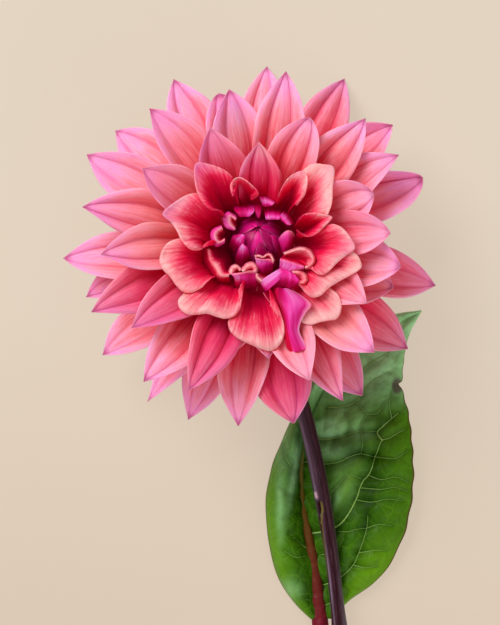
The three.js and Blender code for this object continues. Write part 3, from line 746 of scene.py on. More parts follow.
LOWER_CUP = [
    (22, 0.2, 1, 0, (258, 277), (263, 278.5), (271, 277)),
    (28, 0.4, 1, 0, (257.4, 270.8), (262, 274), (272.6, 271.4)),
    (30.6, 0.7, 1, 0.5, (256.6, 265), (261.8, 267.4), (272.8, 266)),
    (32.2, 0.9, 1, 0.8, (255.8, 260.4), (264.4, 261.4), (273.6, 263.6)),
    (32.8, 1, 0.5, 0.6, (255.1, 258), (259, 259.4), (264.4, 259.9), (269.5, 259.6), (273.4, 262.6)),
    (30, 0.1, 0, 0, (256.5, 257.9), (260, 258.5), (264, 259), (268, 258.2), (271.5, 260.3)),
    (33, 1, 0, 0, (255, 256.4), (259, 256), (263, 257.5), (267, 254.9), (270.6, 255.6), (273.4, 261.4)),
    (31, 0.9, 1, 0.5, (254.4, 255.6), (259, 255), (263.2, 256.4), (267.2, 253.8), (271.6, 254.6),
     (274.6, 261)),
    (26, 0.3, 1, 0, (254.8, 256.2), (259, 255.8), (263.2, 257), (267.2, 255), (271, 256), (274, 262)),
]
TWISTED_LIGHT_BACK = [
    (30.6, 0.8, 1, 0.5, (281, 268.3), (284.5, 269.4), (287, 271.5)),
    (33, 1, 1, 0.9, (275.6, 271.2), (280, 273), (283, 276)),
    (33.6, 1, 1, 0.9, (269, 275.2), (274.6, 277.6), (278.6, 281)),
    (33.2, 1, 1, 0.9, (263.2, 279), (268.6, 282), (273.6, 285.4)),
    (32, 1, 1, 0.8, (260.8, 281.4), (264.6, 285.6), (268.6, 289.6)),
    (29.5, 0.9, 1, 0.4, (261.2, 283.6), (263, 287.4), (265.6, 291.2)),
]
TWISTED_LIGHT_FRONT = [
    (29.5, 1, 1, 0.3, (255.4, 273), (255.6, 278.8), (260.6, 283.6)),
    (32.8, 1, 0, 0, (256.6, 273.6), (257.4, 277.4), (261.8, 281.4)),
    (31.4, 0.7, 0, 0, (258.2, 273.8), (259.6, 276.8), (263.2, 279.8)),
    (28, 0.25, 0, 0, (261, 273.6), (263, 275.6), (266.6, 277.8)),
    (24, 0.1, 0, 0, (265, 272.6), (267.4, 273.4), (272, 274)),
]
TWISTED_DARK_BACK = [
    (30.4, 0.8, 1, 0.5, (280.6, 269), (287, 269.2), (292.4, 271.6)),
    (33, 1, 1, 0.6, (281.4, 272.2), (288, 272.4), (295.6, 275.8)),
    (33.6, 1, 1, 0.5, (279.4, 277.2), (287.6, 277.4), (299.6, 281.2)),
    (32.6, 0.9, 1, 0.1, (274.8, 282.4), (286.4, 282.6), (297, 284.2)),
    (31, 0.9, 1, 0, (271.2, 285.8), (279.6, 286.8), (285.4, 286.4), (290.6, 288.2), (294.8, 285.6)),
    (28, 0.6, 1, 0, (272, 287), (280, 288.4), (290, 289.6)),
]
TWISTED_DARK_CURL = [
    (30.6, 0.9, 0, 0, (291.4, 270.6), (299.8, 270.6), (306.4, 274.2), (308.2, 279.8), (304.6, 285),
     (297.6, 285)),
    (33.2, 1, 0, 0, (292.4, 272), (299, 272.5), (304.4, 275.4), (305.8, 279.6), (303.2, 283),
     (298.2, 282.8)),
    (32.6, 0.75, 0, 0, (293.4, 273.4), (298.4, 274.8), (301.8, 277), (302.6, 279.8), (301.4, 281.4),
     (298.4, 281)),
    (31, 0.5, 0, 0, (295, 276), (297.4, 277.4), (299.4, 279), (300, 280), (299.8, 280.4), (298.4, 279.8)),
]
RIGHT_BOWL = [
    (27, 0.6, 1, 0.5, (279, 271.4), (284, 274), (292, 275.6), (304, 271)),
    (31.5, 0.9, 1, 0.8, (279.8, 266), (285, 269.8), (291, 271.4), (303.8, 268)),
    (33.6, 1, 1, 0.9, (280, 262.6), (288, 265.2), (296, 267.6), (304, 267.6)),
    (34.2, 1, 0.7, 0.6, (280, 259.5), (288, 261.7), (296, 264.3), (304.2, 266.9)),
    (32, 0.3, 0, 0, (281.2, 258.2), (289, 260.1), (297, 262.3), (303.8, 265.6)),
    (29.5, 0.4, 0, 0, (283, 256.6), (290, 256.4), (298, 257.6), (304.6, 260), (306.4, 264)),
    (32, 0.75, 0, 0, (284, 255), (292.6, 252.6), (301, 253), (308, 257), (309.4, 261), (306.4, 265.6)),
    (34.6, 1, 0, 0, (284, 254), (292, 251.4), (300, 248.9), (308, 251), (312.6, 257), (313, 262),
     (309.4, 266), (305, 267.4)),
    (31, 0.9, 0.5, 0.2, (283.4, 253), (291.4, 249.6), (300.4, 247), (309.6, 249), (315, 256),
     (315.4, 263.4), (311, 268.4), (305, 269)),
]
PINK_RIGHT = [
    (24, 0.4, 1, 0, (284, 257), (287, 258.4), (289.4, 256)),
    ((26, 29, 30, 29, 26), 0.6, 1, 0.25, (280.5, 246), (284, 249), (287.5, 247.5), (290, 248),
     (292.8, 246.4)),
    ((28, 31, 33, 31.5, 29), 0.8, 1, 0.5, (278.8, 240), (283, 241), (288, 239.4), (291, 239.4),
     (294, 238.4)),
    ((30, 33, 34, 33, 31), 1, 0.8, 0.7, (280.8, 236.4), (284, 234.7), (288, 232.7), (292, 233.6),
     (294.2, 235.7)),
    ((30, 31.6, 32.6, 31.6, 30.4), 1, 0.3, 0.5, (283.6, 233.2), (286, 231.5), (288.5, 230.8),
     (291.5, 231.6), (293.4, 233.4)),
    (26, 0.5, 0, 0, (284, 234), (286.4, 232.6), (288.6, 232), (291.2, 232.8), (293, 234)),
]
MAGENTA_LEFT = [
    (22, 0.2, 1, 0, (229, 246), (234, 252), (240, 254)),
    (27, 0.5, 1, 0.1, (231, 240), (236, 245), (243, 249)),
    (30, 0.8, 1, 0.8, (232.6, 236.4), (238.4, 239.6), (244, 243)),
    (31.4, 0.9, 1, 0.6, (236, 235), (240.6, 236.8), (244.6, 239)),
    (31.6, 1, 1, 0.7, (241.6, 233.8), (243.4, 234.6), (245.2, 236)),
]
PINK_LOWER_LEFT = [
    (20, 0.1, 1, 0, (236, 266), (243, 270), (250, 266)),
    (25.5, 0.4, 1, 0, (235.6, 258), (242.8, 260.6), (250, 258)),
    (29, 0.8, 1, 0.6, (237.4, 252), (242.6, 252.6), (248.8, 252)),
    (31, 1, 1, 1, (239.4, 247.6), (242.4, 247.2), (247.2, 247.6)),
    (31.4, 1, 1, 0.7, (241.6, 244.2), (242.6, 243.8), (244, 244.6)),
]
EVEN = (1, 1)
# Each one's rows, and how much of their violet there is from one side to the other, which is partly painted
# highlight and shade.
CURLS = [
    (TOP_LEFT_TIP, (0.1, 0.5, 1)), (TOP_NARROW_TIP, EVEN), (TOP_MIDDLE_TIP, EVEN), (TOP_RIGHT_TIP, EVEN),
    (TOP_BACK_TIP, EVEN), (UPPER_LEFT_CURL, EVEN), (LEFT_CUP, EVEN), (SALMON_EDGE_LOWER_LEFT, EVEN),
    (DOUBLE_CUP_FRONT, (1.2, 1, 0.35, 0.2)), (DOUBLE_CUP_LEFT_BOWL, EVEN), (DOUBLE_CUP_RIGHT_BOWL, EVEN),
    (LOWER_CUP, (1.3, 1.1, 0.1)), (TWISTED_LIGHT_BACK, (1.1, 1, 0.45)), (TWISTED_LIGHT_FRONT, EVEN),
    (TWISTED_DARK_BACK, EVEN), (TWISTED_DARK_CURL, EVEN), (RIGHT_BOWL, EVEN),
    (PINK_RIGHT, (1.1, 1.2, 1, 0.2, 0.1)), (MAGENTA_LEFT, (0.4, 1.2, 0.6)),
    (PINK_LOWER_LEFT, (0.8, 1.3, 0.5)),
]


def curl(rows, across):
    """A small floret through its rows, which are turned over if they would face down."""
    t = np.linspace(0, 1, CURL_COLUMNS)
    s = np.linspace(0, len(rows) - 1, STEPS_PER_ROW * len(rows))
    control = []
    for heights, _, _, _, *points in rows:
        x, y = spline((np.array(points, float) - PICTURE_MIDDLE) * (MM_PER_PIXEL, -MM_PER_PIXEL), t).T
        height = spline(heights, t) if isinstance(heights, tuple) else heights + 0 * t
        control.append(np.stack([*local(x, y, height), height], axis=1))
    p = spline(np.array(control), s / s[-1])
    if grid_normals(p)[..., 2].mean() < 0:
        p, across = p[:, ::-1], across[::-1]
    ripe, turned, violet = (np.interp(s, np.arange(len(rows)), [row[k] for row in rows]) for k in (1, 2, 3))
    pale = violet[:, None] * np.interp(t, np.linspace(0, 1, len(across)), across)
    values = dict(
        along=ripe[:, None], seed=rng.uniform(0, 1), turned=turned[:, None], pale=pale, wide=6 * t,
        long=3 * s[:, None], rim=3 + 12 * np.minimum(t, 1 - t),
    )
    return p, CURL_THICKNESS, values


# The bloom: florets that fan out from their root to an edge whose shape is seen

FAN_ALONG = 1 - (1 - np.linspace(0, 1, 36)) ** 1.6
FAN_ACROSS = np.linspace(-1, 1, 53)
FAN_ROOT, FAN_LOW, FAN_SHARE = 12.6, 10.0, 0.94
LIP_ANGLES = np.radians([10, 22, 36, 52, 70, 88])

# From the topmost down, each with its edge as seen from the front (mm from the middle of the bud,
# anticlockwise), and the height of the edge above the receptacle's base.
# Their colour shifts are partly their own tone and partly painted light and shade.
FANS = [
    # Cups above and to the right of the bud.
    at([(-2.3, 14.2), (0.2, 16.4), (-2.3, 19.6), (-5.8, 22.2), (-8.5, 22), (-10.2, 19.3), (-9.4, 15.4)], 38,
        lip=(0.9, 0.5, 0.3, 0.3), spread=10, bulge=2, cup=4, ripe=-0.1),
    at([(14.3, 12.2), (17.4, 16.4), (18.3, 21.6), (17.4, 24.2), (14.9, 24.5), (11.2, 22.1), (8.8, 18.4),
        (7.5, 15.4)], 39, lip=(0.9, 0.5, 0.4, 0.4), spread=10, bulge=1, cup=3, ripe=0.04, tip=0.1,
        dusk=0.5),
    at([(14.2, 3), (15.7, 1.6), (18.5, 0.6), (21.7, 1.8), (25, 4.8), (27.4, 7.7), (25, 8.5), (20.8, 9.3),
        (17.1, 8.7), (15, 6.8)], 39, lip=(0.6, 0.9, 0.5, 0.4), spread=10, bulge=1, cup=4, ripe=-0.08),
    # Broad inner florets with rolled ends.
    at([(19.9, -10.2), (21.5, -12.7), (24, -13.4), (26.6, -11.7), (29.2, -9), (32.6, -6.2), (35.8, -3.7),
        (34, 0.4), (31, 3.8), (27.3, 5.3), (23.4, 4.4)], 39, lip=(0.3, 1.0, 0.6, 0.4, 0.3), spread=14,
        fold=1.2, tip=0.2, dusk=0.6),
    at([(15.6, -17.4), (17.8, -20.4), (20.3, -21.7), (23.4, -20.8), (25.9, -18.4), (29.6, -16),
        (33.8, -13.8), (37.2, -11.8), (38.3, -10), (37, -6.8), (33.6, -4)], 37,
        lip=(0.3, 1.5, 1.1, 0.7, 0.3), spread=12, fold=1, ripe=0.05),
    at([(-10, 17), (-8.8, 21.4), (-11.9, 24.8), (-17.1, 27), (-22.8, 27.7), (-23.5, 22.7), (-22.2, 16.5),
        (-18.7, 11.3), (-14.5, 10)], 39, lip=(0.3, 0.4, 0.4, 0.7, 0.6), spread=15, cup=5, ripe=-0.12,
        tip=0.02, dusk=1.1),
    at([(-18.6, 16.4), (-24, 16.6), (-29, 14.4), (-35.2, 9.3), (-32.2, 6), (-30.1, 3), (-28, -1),
        (-25, -3.8), (-21.6, -3.8), (-18.4, -1)], 38, lip=(0.3, 0.4, 0.4, 0.8, 1.6, 0.4), spread=15,
        fold=1.2, ripe=0.02, tip=-0.34, dusk=1.1),
    at([(25.8, 8.6), (27.3, 13.1), (27.6, 19), (28.1, 25.9), (24.2, 27.2), (19.9, 27.2), (15.4, 24)], 38,
        lip=(0.3, 0.5, 0.4, 0.3), spread=14, cup=3, ripe=0.18, tip=0.05, dusk=0.5),
    at([(-25.5, 0.6), (-31.7, -0.9), (-34.8, -3.4), (-36.3, -7.4), (-35.4, -11), (-32.6, -13.8),
        (-30.2, -17.2), (-27.6, -19.5), (-24.4, -19.9), (-20.4, -18)], 36,
        lip=(0.3, 0.8, 1.4, 2.1, 2.1, 0.3), spread=17, fold=1),
    at([(-27, -19.6), (-29.3, -22.6), (-29, -25.6), (-26.2, -27.8), (-22.4, -27.9), (-18.8, -27.6),
        (-15.3, -28.8), (-12, -29.5), (-8.7, -28.4), (-6.6, -25.6), (-6.3, -22.3), (-7, -19)], 37,
        lip=(0.3, 1.6, 2.0, 1.6, 1.5, 0.3), spread=17, fold=1, ripe=0.03),
    at([(-9.6, -26.5), (-10.9, -30.5), (-10.3, -34), (-7.4, -36.8), (-3, -38.9), (1.4, -40.7), (5.1, -41.3),
        (8, -39.2), (9.7, -35.4), (9.6, -31.7), (7.9, -28.3), (4.6, -24.6)], 36,
        lip=(0.3, 1.3, 1.9, 1.9, 1.5, 0.3), spread=15, fold=1.3, ripe=-0.02),
    at([(16.2, -31.2), (19.4, -32), (22.7, -31), (25.9, -30.3), (28.8, -29.8), (30.4, -27.6), (30.8, -24.3),
        (29.6, -21.1), (26.8, -18.8)], 34, lip=(0.3, 0.9, 0.9, 0.3), spread=12, fold=0.8, ripe=0.1),
]
SIDEWAYS_FLORET_AT = len(FANS) - 1


def fan(rim, height, lip, spread=12, bulge=0, cup=2, fold=0.6, ripe=0.0, tip=0.0, dusk=0.0):
    """A floret between an arc on the receptacle and its seen edge, which rounds over by the lip's radii."""
    s, t = FAN_ALONG[:, None], FAN_ACROSS[None, :]
    seed, phase = rng.uniform(0, 1, 2)
    place = (FAN_ACROSS + 1) / 2
    edge = spline(np.array([local(x, y, height) for x, y in rim]), place)
    middle = edge.mean(axis=0)
    azimuth = math.atan2(middle[1], middle[0]) + np.radians(spread) * FAN_ACROSS
    foot = FAN_ROOT * np.stack([np.cos(azimuth), np.sin(azimuth)], axis=1)
    flow = s[..., None]
    plan = foot * (1 - flow) + edge * flow + unit(middle) * bulge * np.sin(np.pi * flow)
    radius = spline(lip, place)
    reach = np.linalg.norm(edge - foot, axis=1)
    shoulder = np.clip(1 - (1 - s) * reach / radius, 0, 1)
    away = np.abs(t)
    ridge = np.cos(np.pi * (t * 2.5 + phase * 0.6)) * (1 - away**2)
    crease = dip(away - 0.35, 0.07) * smoothstep(0.3, 0.6, s)
    z = FAN_LOW + (height - FAN_LOW) * np.sin(np.pi / 2 * np.clip(s / 0.88, 0, 1))
    z = z + fold * (0.6 * ridge * smoothstep(0.2, 0.7, s) - 0.5 * crease) * (1 - smoothstep(0.9, 1, s))
    z = z + cup * (away**2 - 0.4) * np.sin(np.pi * np.clip(s, 0, 0.97))
    z = z - radius * (1 - np.sqrt(1 - shoulder**2))
    tangent = np.gradient(edge, axis=0)
    normal = unit(np.stack([tangent[:, 1], -tangent[:, 0]], axis=1))
    over = LIP_ANGLES[:, None]
    lips = edge - normal * (radius * (1 - np.cos(over)))[..., None]
    p = np.concatenate([np.dstack([plan, z]), np.dstack([lips, z[-1] - radius * np.sin(over)])])
    share = np.concatenate([s * FAN_SHARE, FAN_SHARE + (1 - FAN_SHARE) * over / over[-1]])
    rim_away = np.concatenate([(1 - s) * reach, 0 * over * radius])
    width = np.sum(np.linalg.norm(np.diff(edge, axis=0), axis=1)) / 2
    breadth = (0.35 + 0.65 * share) * width
    far = np.minimum(1, 1.25 * reach / reach.max())
    values = dict(
        along=share * (0.4 + 0.6 * far), seed=seed, turned=-1.0, ripe=ripe,
        dusk=dusk * dip(t - tip, 0.26) * smoothstep(0.62, 1, share), wide=0.8 * width * t,
        long=(reach + height - FAN_LOW) * share,
        rim=np.minimum(rim_away, breadth * (1 - away) * 1.2 + 16 * (1 - share)),
    )
    return p, FAN_THICKNESS * (1 - 0.45 * share), values


# A floret turned on its side, so that its violet back shows: rows from its root to its end, each from the
# left margin over a dark channel and a ridge to the right margin.
SIDEWAYS_ROWS = [
    [(1.9, -19.5, 32), (5, -19.2, 30), (8.3, -18.2, 34), (11.6, -18, 32)],
    [(4.8, -23.2, 36.5), (7, -23.4, 34.5), (9, -23, 38), (19.4, -24, 36)],
    [(7.8, -26.8, 38), (9, -27.2, 36.5), (10.3, -26.8, 39), (17.9, -27.2, 36.5)],
    [(9.2, -31, 38), (10, -31, 36.8), (11.1, -30.6, 38.6), (16, -30.6, 36)],
    [(9.5, -35.4, 36), (10.6, -35.6, 35), (11.9, -35.2, 36.6), (15.4, -35, 34.5)],
    [(10.4, -40.4, 33), (12, -42, 32), (14.2, -42.2, 33), (18.8, -40.8, 31.5)],
]
SIDEWAYS_ALONG, SIDEWAYS_ACROSS = np.linspace(0, 1, 46), np.linspace(0, 1, 41)


def sideways_floret():
    control = np.array([[(*local(x, y, h), h) for x, y, h in row] for row in SIDEWAYS_ROWS])
    s, t = SIDEWAYS_ALONG[:, None], SIDEWAYS_ACROSS
    p = spline(spline(control, SIDEWAYS_ALONG).swapaxes(0, 1), t).swapaxes(0, 1)
    p[..., 2] += 0.5 * np.sin(2 * np.pi * (2.6 * t + 0.4 * s)) * smoothstep(0.4, 0.6, t)
    pale = 0.28 + 0.6 * smoothstep(0.6, 0.95, t) * (1 - 0.3 * s) + 0.25 * smoothstep(0.5, 1, s)
    pale += 0.2 * np.sin(17 * t + 4 * s)
    values = dict(
        along=0.3 + 0.35 * s, seed=0.37, turned=smoothstep(0.5, 0.62, t), pale=pale, ripe=-0.25, wide=14 * t,
        long=30 * s, rim=9 * np.minimum(t, 1 - t),
    )
    return p, SIDEWAYS_THICKNESS, values


# The bloom: open florets

# Florets before this place go into the back piece. A floret's level is its place divided by LEVELS.
FIRST_MIDDLE, LEVELS = 24, 62
# From the back row to the middle: the height of the tips, and the first and last value of what else changes.
TIP_HEIGHT = [-12, 4, 16, 24, 30, 34, 37, 39, 41]
ROOT_RADIUS, ROOT_HEIGHT = (11, 13.1), (2.6, 10)
BEND, HALF_WIDTH = (34, 46), (10.8, 10.4)
TROUGH_ROOT, TROUGH_TIP = (50, 90), (26, 50)
CURVE, WAVE, RIPPLE = 1.15, 0.09, 0.03
# From the back row to the middle: direction (degrees) and distance (mm) of the tip, seen from the
# front and from the middle of the bud.
# Their colour shifts are partly their own tone and partly painted light and shade: darker, rosier and more
# purple where they lie in shade.
OPEN_FLORETS = [
    at(217, 72, skew=-0.2, wide=0.88), at(87, 63.5, wide=0.9, skew=-0.15, cast=0.2),
    at(323.5, 69, ripe=-0.12, cast=0.8), at(143, 66, droop=9, ripe=0.1, cast=0.3),
    at(61.5, 67, droop=6.7, wide=0.92, ripe=-0.03, dusk=0.7, cast=0.4), at(249, 72, ripe=0.03, wide=0.94),
    at(345, 68, ripe=-0.1, dusk=0.6, cast=0.6), at(199, 67.5, side=16, wide=0.8, cast=0.4),
    at(40, 65, edge=-0.5, cast=0.3), at(303.5, 70, ripe=-0.08, cast=0.5),
    at(236, 73, wide=0.7, full=1.4, cast=0.3), at(118, 66.5, ripe=0.06),
    at(20, 65, cup=10, edge=-0.2, blunt=0.3, skew=-0.5, wide=1.1, ripe=0.13, fold=1.1, dusk=0.5),
    at(186, 72.5, ripe=0.08, side=-8, cast=-0.3), at(154, 70.5, ripe=0.14, cast=-0.2),
    at(281, 70, wide=1.16, full=2.6, fold=1.3, ripe=-0.28, dusk=0.9, cast=1),
    at(264, 70, ripe=-0.04, cast=0.3), at(340, 53.5, wide=1.1, full=2.6, ripe=-0.2, dusk=0), at(172, 50),
    at(225, 50), at(5, 44), at(72, 50), at(292, 50), at(105, 55.5, blunt=0.5, wide=0.9, ripe=0.05),
    at(101, 56, wide=1.05, ripe=0.05, dusk=0.8), at(231.5, 68, ripe=-0.02, cast=0.2),
    at(297.5, 68, ripe=-0.08, cast=0.6), at(204, 67.5, ripe=-0.16, dusk=1, cast=0.9),
    at(130, 62.5, ripe=0.06, dusk=0.7, cast=-0.3), at(30.5, 60.5, cast=0.3), at(80.5, 62.5, ripe=0.05),
    at(170, 66, ripe=0.06, dusk=0.9, cast=-0.6), at(48, 59.5, fold=1.1, full=2.0, cast=-0.2),
    at(315.5, 60.5, wide=1.1, full=2.3, skew=-0.1, ripe=0.04, cast=-0.9),
    at(348.5, 54, full=2.8, blunt=0.3, wide=1.08, ripe=-0.04, cast=0.2), at(256, 46, ripe=-0.2),
    at(275, 45, ripe=-0.2), at(245.5, 62, fold=1.2, ripe=-0.22, dusk=1, cast=1),
    at(186, 58.5, ripe=0.04, dusk=0.8, cast=-0.8),
    at(215.5, 57.5, fold=0.9, ripe=-0.12, dusk=1.2, cast=0.9),
    at(66.5, 48.5, blunt=0.35, full=2.6, wide=1.02, cast=-0.2),
    at(21, 46, blunt=0.5, full=2.6, wide=1.1, cast=-0.3),
    at(149, 50, wide=1.05, ripe=0.06, dusk=1, cast=-0.6), at(2, 49, blunt=0.35, full=2.4, dusk=0.5),
    at(113.5, 44.5, side=-12, dusk=1.2, cast=0.3),
    at(290, 56.5, full=2.4, side=18, skew=0.15, ripe=0.1, cast=-0.5), at(329, 47, full=2.2, cast=-0.4),
    at(89.5, 35.5, fold=1.3, full=2.1, wide=0.95, level=0.94, dusk=1, cast=0.4),
]


def open_floret(index):
    direction, reach, special = OPEN_FLORETS[index]
    random = rng.uniform(-1, 1, 6)
    own = dict(
        level=index / LEVELS, droop=0, wide=1, cup=0, full=1.95 + 0.3 * random[0], side=9 * random[1],
        twist=10 * random[2], fold=0.65 + 0.35 * random[3], phase=0.5 + 0.5 * random[4],
        seed=0.5 + 0.5 * random[5], dusk=0.25,
    )
    own.update(special)
    droop, wide, cup = (own.pop(name) for name in ("droop", "wide", "cup"))
    level = own["level"]
    foot, bend, width = (mix(pair, level) for pair in (ROOT_RADIUS, BEND, HALF_WIDTH))
    low, high = mix(ROOT_HEIGHT, level), float(spline(TIP_HEIGHT, level)) - droop
    direction = math.radians(direction)
    x, y = local(reach * math.cos(direction), reach * math.sin(direction), high)
    length, start = aim(math.hypot(x, y) - foot, high - low, bend, CURVE)
    trough = (mix(TROUGH_ROOT, level) + cup, mix(TROUGH_TIP, level) + cup)
    return floret(
        math.atan2(y, x), (foot, low), length, start, bend, width * wide, trough, curve=CURVE, wave=WAVE,
        ripple=RIPPLE, **own,
    )


# The bloom, put together from the bud outwards

back, middle, inner = (Piece(**FLORET_VALUES) for _ in range(3))
canopy = Canopy()
for rows, across in CURLS:
    canopy.lay(inner, curl(rows, across), CURL_GIVES)
for index, (rim, height, special) in enumerate(FANS):
    if index == SIDEWAYS_FLORET_AT:
        canopy.lay(inner, sideways_floret(), SIDEWAYS_GIVES)
    canopy.lay(inner, fan(rim, height, **special), FAN_GIVES)
for index in reversed(range(len(OPEN_FLORETS))):
    canopy.lay(back if index < FIRST_MIDDLE else middle, open_floret(index), OPEN_GIVES)

# The mound that the florets' roots stand on.
MOUND = [(12, 0), (19, 1.6), (22, 6), (21, 11), (18, 15), (13.5, 17), (11, 15), (10, 11)]
middle.tube(lathe(MOUND), level=0.9)
petal = petal_material()
for name, piece in (("florets_back", back), ("florets_middle", middle), ("florets_inner", inner)):
    piece.make(name, petal, "ray_florets", in_bloom=True)

# The bud: closed florets wrapped round a core, converging a little above the bud's middle

BUD_RADIUS, BUD_MIDDLE, BUD_RISE, BUD_DEPTH, BUD_TURN = 9.3, 16.0, 13.6, 5.0, math.radians(-21)
CORE_RADIUS, CORE_RINGS = 9.1, np.radians(np.linspace(-80, 88, 14))[:, None]
# Rings of closed florets: how many, elevation of foot and tip, half width, thickness and distance outwards.
BUD_RINGS = [(7, -12, 88, 4.4, 0.7, 0.0), (6, -30, 62, 3.9, 0.9, 0.5), (8, -38, 34, 3.1, 1.0, 0.9)]
FIRST_TURN, GOLDEN_ANGLE = 0.3, math.radians(137.508)
CLOSED_ALONG, CLOSED_SIDES, CLOSED_WIDEST_AT = np.linspace(0, 1, 30)[:, None], 24, 0.45
bud = Piece(along=0, across=1, seed=0.1, wide=0, long=0)


def on_bud(v):
    """A point given on a ball round the bud's middle, turned towards the top and fitted to the bud."""
    c, sn = math.cos(BUD_TURN), math.sin(BUD_TURN)
    x, y, z = v[..., 0], v[..., 1] * c - v[..., 2] * sn, v[..., 1] * sn + v[..., 2] * c
    return np.stack([x, y, BUD_MIDDLE + z * np.where(z > 0, BUD_RISE, BUD_DEPTH) / BUD_RADIUS], axis=-1)


def closed_floret(azimuth, foot, tip, width, thickness, out, seed):
    """A lens with a ridge, bent over the bud from its foot to its tip."""
    s, a = CLOSED_ALONG, turns(CLOSED_SIDES)
    falling = 1 - (np.maximum(0, s - CLOSED_WIDEST_AT) / (1 - CLOSED_WIDEST_AT)) ** 2.2
    wide = width * np.where(s < CLOSED_WIDEST_AT, 0.72 + 0.62 * s, falling) + 0.04
    lens = np.sign(np.sin(a)) * np.abs(np.sin(a)) ** 0.8 * thickness * (1 - 0.5 * s**2) + out * (1 - 0.4 * s)
    ridge = np.cos(a) * wide
    beside = np.array([-np.sin(azimuth), np.cos(azimuth), 0])
    v = ball(azimuth, np.radians(mix((foot, tip), s))) * BUD_RADIUS + beside * ridge[..., None]
    v = unit(v) * (BUD_RADIUS + lens + 0.18 * np.cos(2 * a) * (1 - s))[..., None]
    bud.tube(on_bud(v), along=s, across=np.cos(a), seed=seed, wide=ridge, long=20 * s)


turn = FIRST_TURN
for count, foot, tip, width, thickness, out in BUD_RINGS:
    for _ in range(count):
        turn += 2 * np.pi / count
        closed_floret(
            turn + rng.uniform(-0.12, 0.12), foot, tip + rng.uniform(-6, 1), width * rng.uniform(0.85, 1.08),
            thickness, out, rng.uniform(0, 1),
        )
    turn += GOLDEN_ANGLE
bud.tube(on_bud(ball(turns(SIDES), CORE_RINGS) * CORE_RADIUS))
bud.make("bud_florets", bud_material(), "bud", in_bloom=True)

# The involucre: a disc, and two rings of bracts under the bloom

DISC = [(5, -3.3), (8, -2.4), (9.5, -1.5), (9.5, -0.3)]
BRACT_ROOT, BRACT_TROUGH, BRACT_THICKNESS = (7, -2.1), (40, 30), 0.7
# How many, direction of the first, length, half width, first elevation and bend.
BRACT_RINGS = [(8, 10, 17, 5, 0, 18), (5, 325, 13, 3.2, -18, 57)]

involucre = Piece(along=0, seed=0.3, wide=0, long=0)
involucre.tube(lathe(DISC))
for count, first, length, width, start, bend in BRACT_RINGS:
    for i in range(count):
        azimuth = math.radians(first + 360 * i / count)
        p, thickness, values = floret(
            azimuth, BRACT_ROOT, length, start, bend, width, BRACT_TROUGH, fold=0.2, seed=rng.uniform(0, 1),
            thickness=BRACT_THICKNESS,
        )
        involucre.blade(p, thickness, **values)
involucre.make("bracts", bract_material(), "involucre", in_bloom=True)

# The stem

BELOW = np.array(AXIS) * 3.6
STEM_ROUTE = [
    RECEPTACLE - BELOW, RECEPTACLE - 2 * BELOW, (-2.2, -11.4, 13.2), (1.6, -20, 12.9), (9.6, -42, 14),
    (17.6, -66, 13.9), (23, -90, 11.5), (27.6, -117, 9.5), (30.4, -141, 8), (32.2, -160, 6.4),
    (33.6, -180, 4.8), (34.6, -199, 3.45),
]
STEM_RADII = [4.6, 3.2, 2.6, 2.5, 2.6, 3, 3.05, 2.75, 2.75, 3.9, 3.1, 3.05]
STEM_RINGS = 260
# The cut end's rings: share of the radius, distance up the stem, and how pale the flesh is.
CUT_RINGS = np.array([(0.93, -0.12, 0.5), (0.62, 0, 1), (0.5, 2, 0.8), (0.42, 5, 0.6), (0.3, 6.5, 0.5)])
# The scar of a shed leaf at the stem's left, as seen from the front: a pale tip over a dark pit with a
# greenish edge, from which a dark groove with a green line runs down.
SCAR_TIP = [(21.9, -96), (22.3, -97.6)]
SCAR_PIT = [(22.7, -99.6), (22.9, -103.6)]
SCAR_EDGE = [(23.8, -99.4), (24.5, -101.8), (24.2, -104.6), (23.9, -107.6)]
SCAR_GROOVE = [(23.3, -106), (25.4, -126), (27.7, -146.6), (29.6, -166)]
SCAR_LINE = [(24, -107), (25.2, -118), (26.4, -131)]


def flat_path(line, finer):
    """A smooth path at height 0 through seen points, with some times as many points."""
    return smooth_path([(x, y, 0.0) for x, y in line], finer * len(line))


def nearest(points, lines):
    """How far each point lies from the nearest of some lines, seen from the front."""
    best = np.full(points.shape[:2], FAR)
    for line in lines:
        fine = flat_path(line, 6)[0][:, :2]
        for a, b in zip(fine[:-1], fine[1:]):
            ahead = b - a
            share = np.clip(((points - a) @ ahead) / (ahead @ ahead), 0, 1)
            best = np.minimum(best, np.linalg.norm(points - a - share[..., None] * ahead, axis=-1))
    return best


line, place = smooth_path(STEM_ROUTE, STEM_RINGS)
radius = spline(STEM_RADII, place)[:, None]
around = turns(SIDES)
along = np.linspace(0, np.sum(np.linalg.norm(np.diff(line, axis=0), axis=1)), len(line))[:, None]
ribs = 1 - 0.035 * np.abs(np.sin(around * 3.5)) - 0.012 * np.sin(along / 9)
ring = hose(line, radius * ribs, around)
seen_ring, upper = ring[..., :2], smoothstep(-0.1, 0.3, np.sin(around))


def mark(line, breadth):
    """A soft stripe along a line on the upper side of the stem."""
    return (1 - smoothstep(breadth * 0.4, breadth, nearest(seen_ring, [line]))) * upper


pit, groove = mark(SCAR_PIT, 1.2), mark(SCAR_GROOVE, 1.5)
edge, pale = mark(SCAR_EDGE, 0.55), mark(SCAR_TIP, 0.7)
green = np.maximum(edge, 0.8 * mark(SCAR_LINE, 0.45))
raised = 0.35 * edge + 0.3 * pale - 0.9 * pit - 0.4 * groove
ring = ring + (raised / radius)[..., None] * (ring - line[:, None])
share, up = CUT_RINGS[:, :2].T[..., None, None]
end = line[-1] + (ring[-1] - line[-1]) * share + (line[-3] - line[-1]) * up
cut = np.concatenate([np.zeros(len(line)), CUT_RINGS[:, 2]])[:, None]
along = np.vstack([along, np.full((len(end), 1), along[-1])])
unmarked = np.zeros(end.shape[:2])
pit, groove, green, pale = (np.vstack([value, unmarked]) for value in (pit, groove, green, pale))
stem = Piece(along=0, around=0, cut=0, pit=0, groove=0, green=0, pale=0)
stem.tube(
    np.concatenate([ring, end]), along=along, around=around, cut=cut, pit=pit, groove=groove, green=green,
    pale=pale,
)
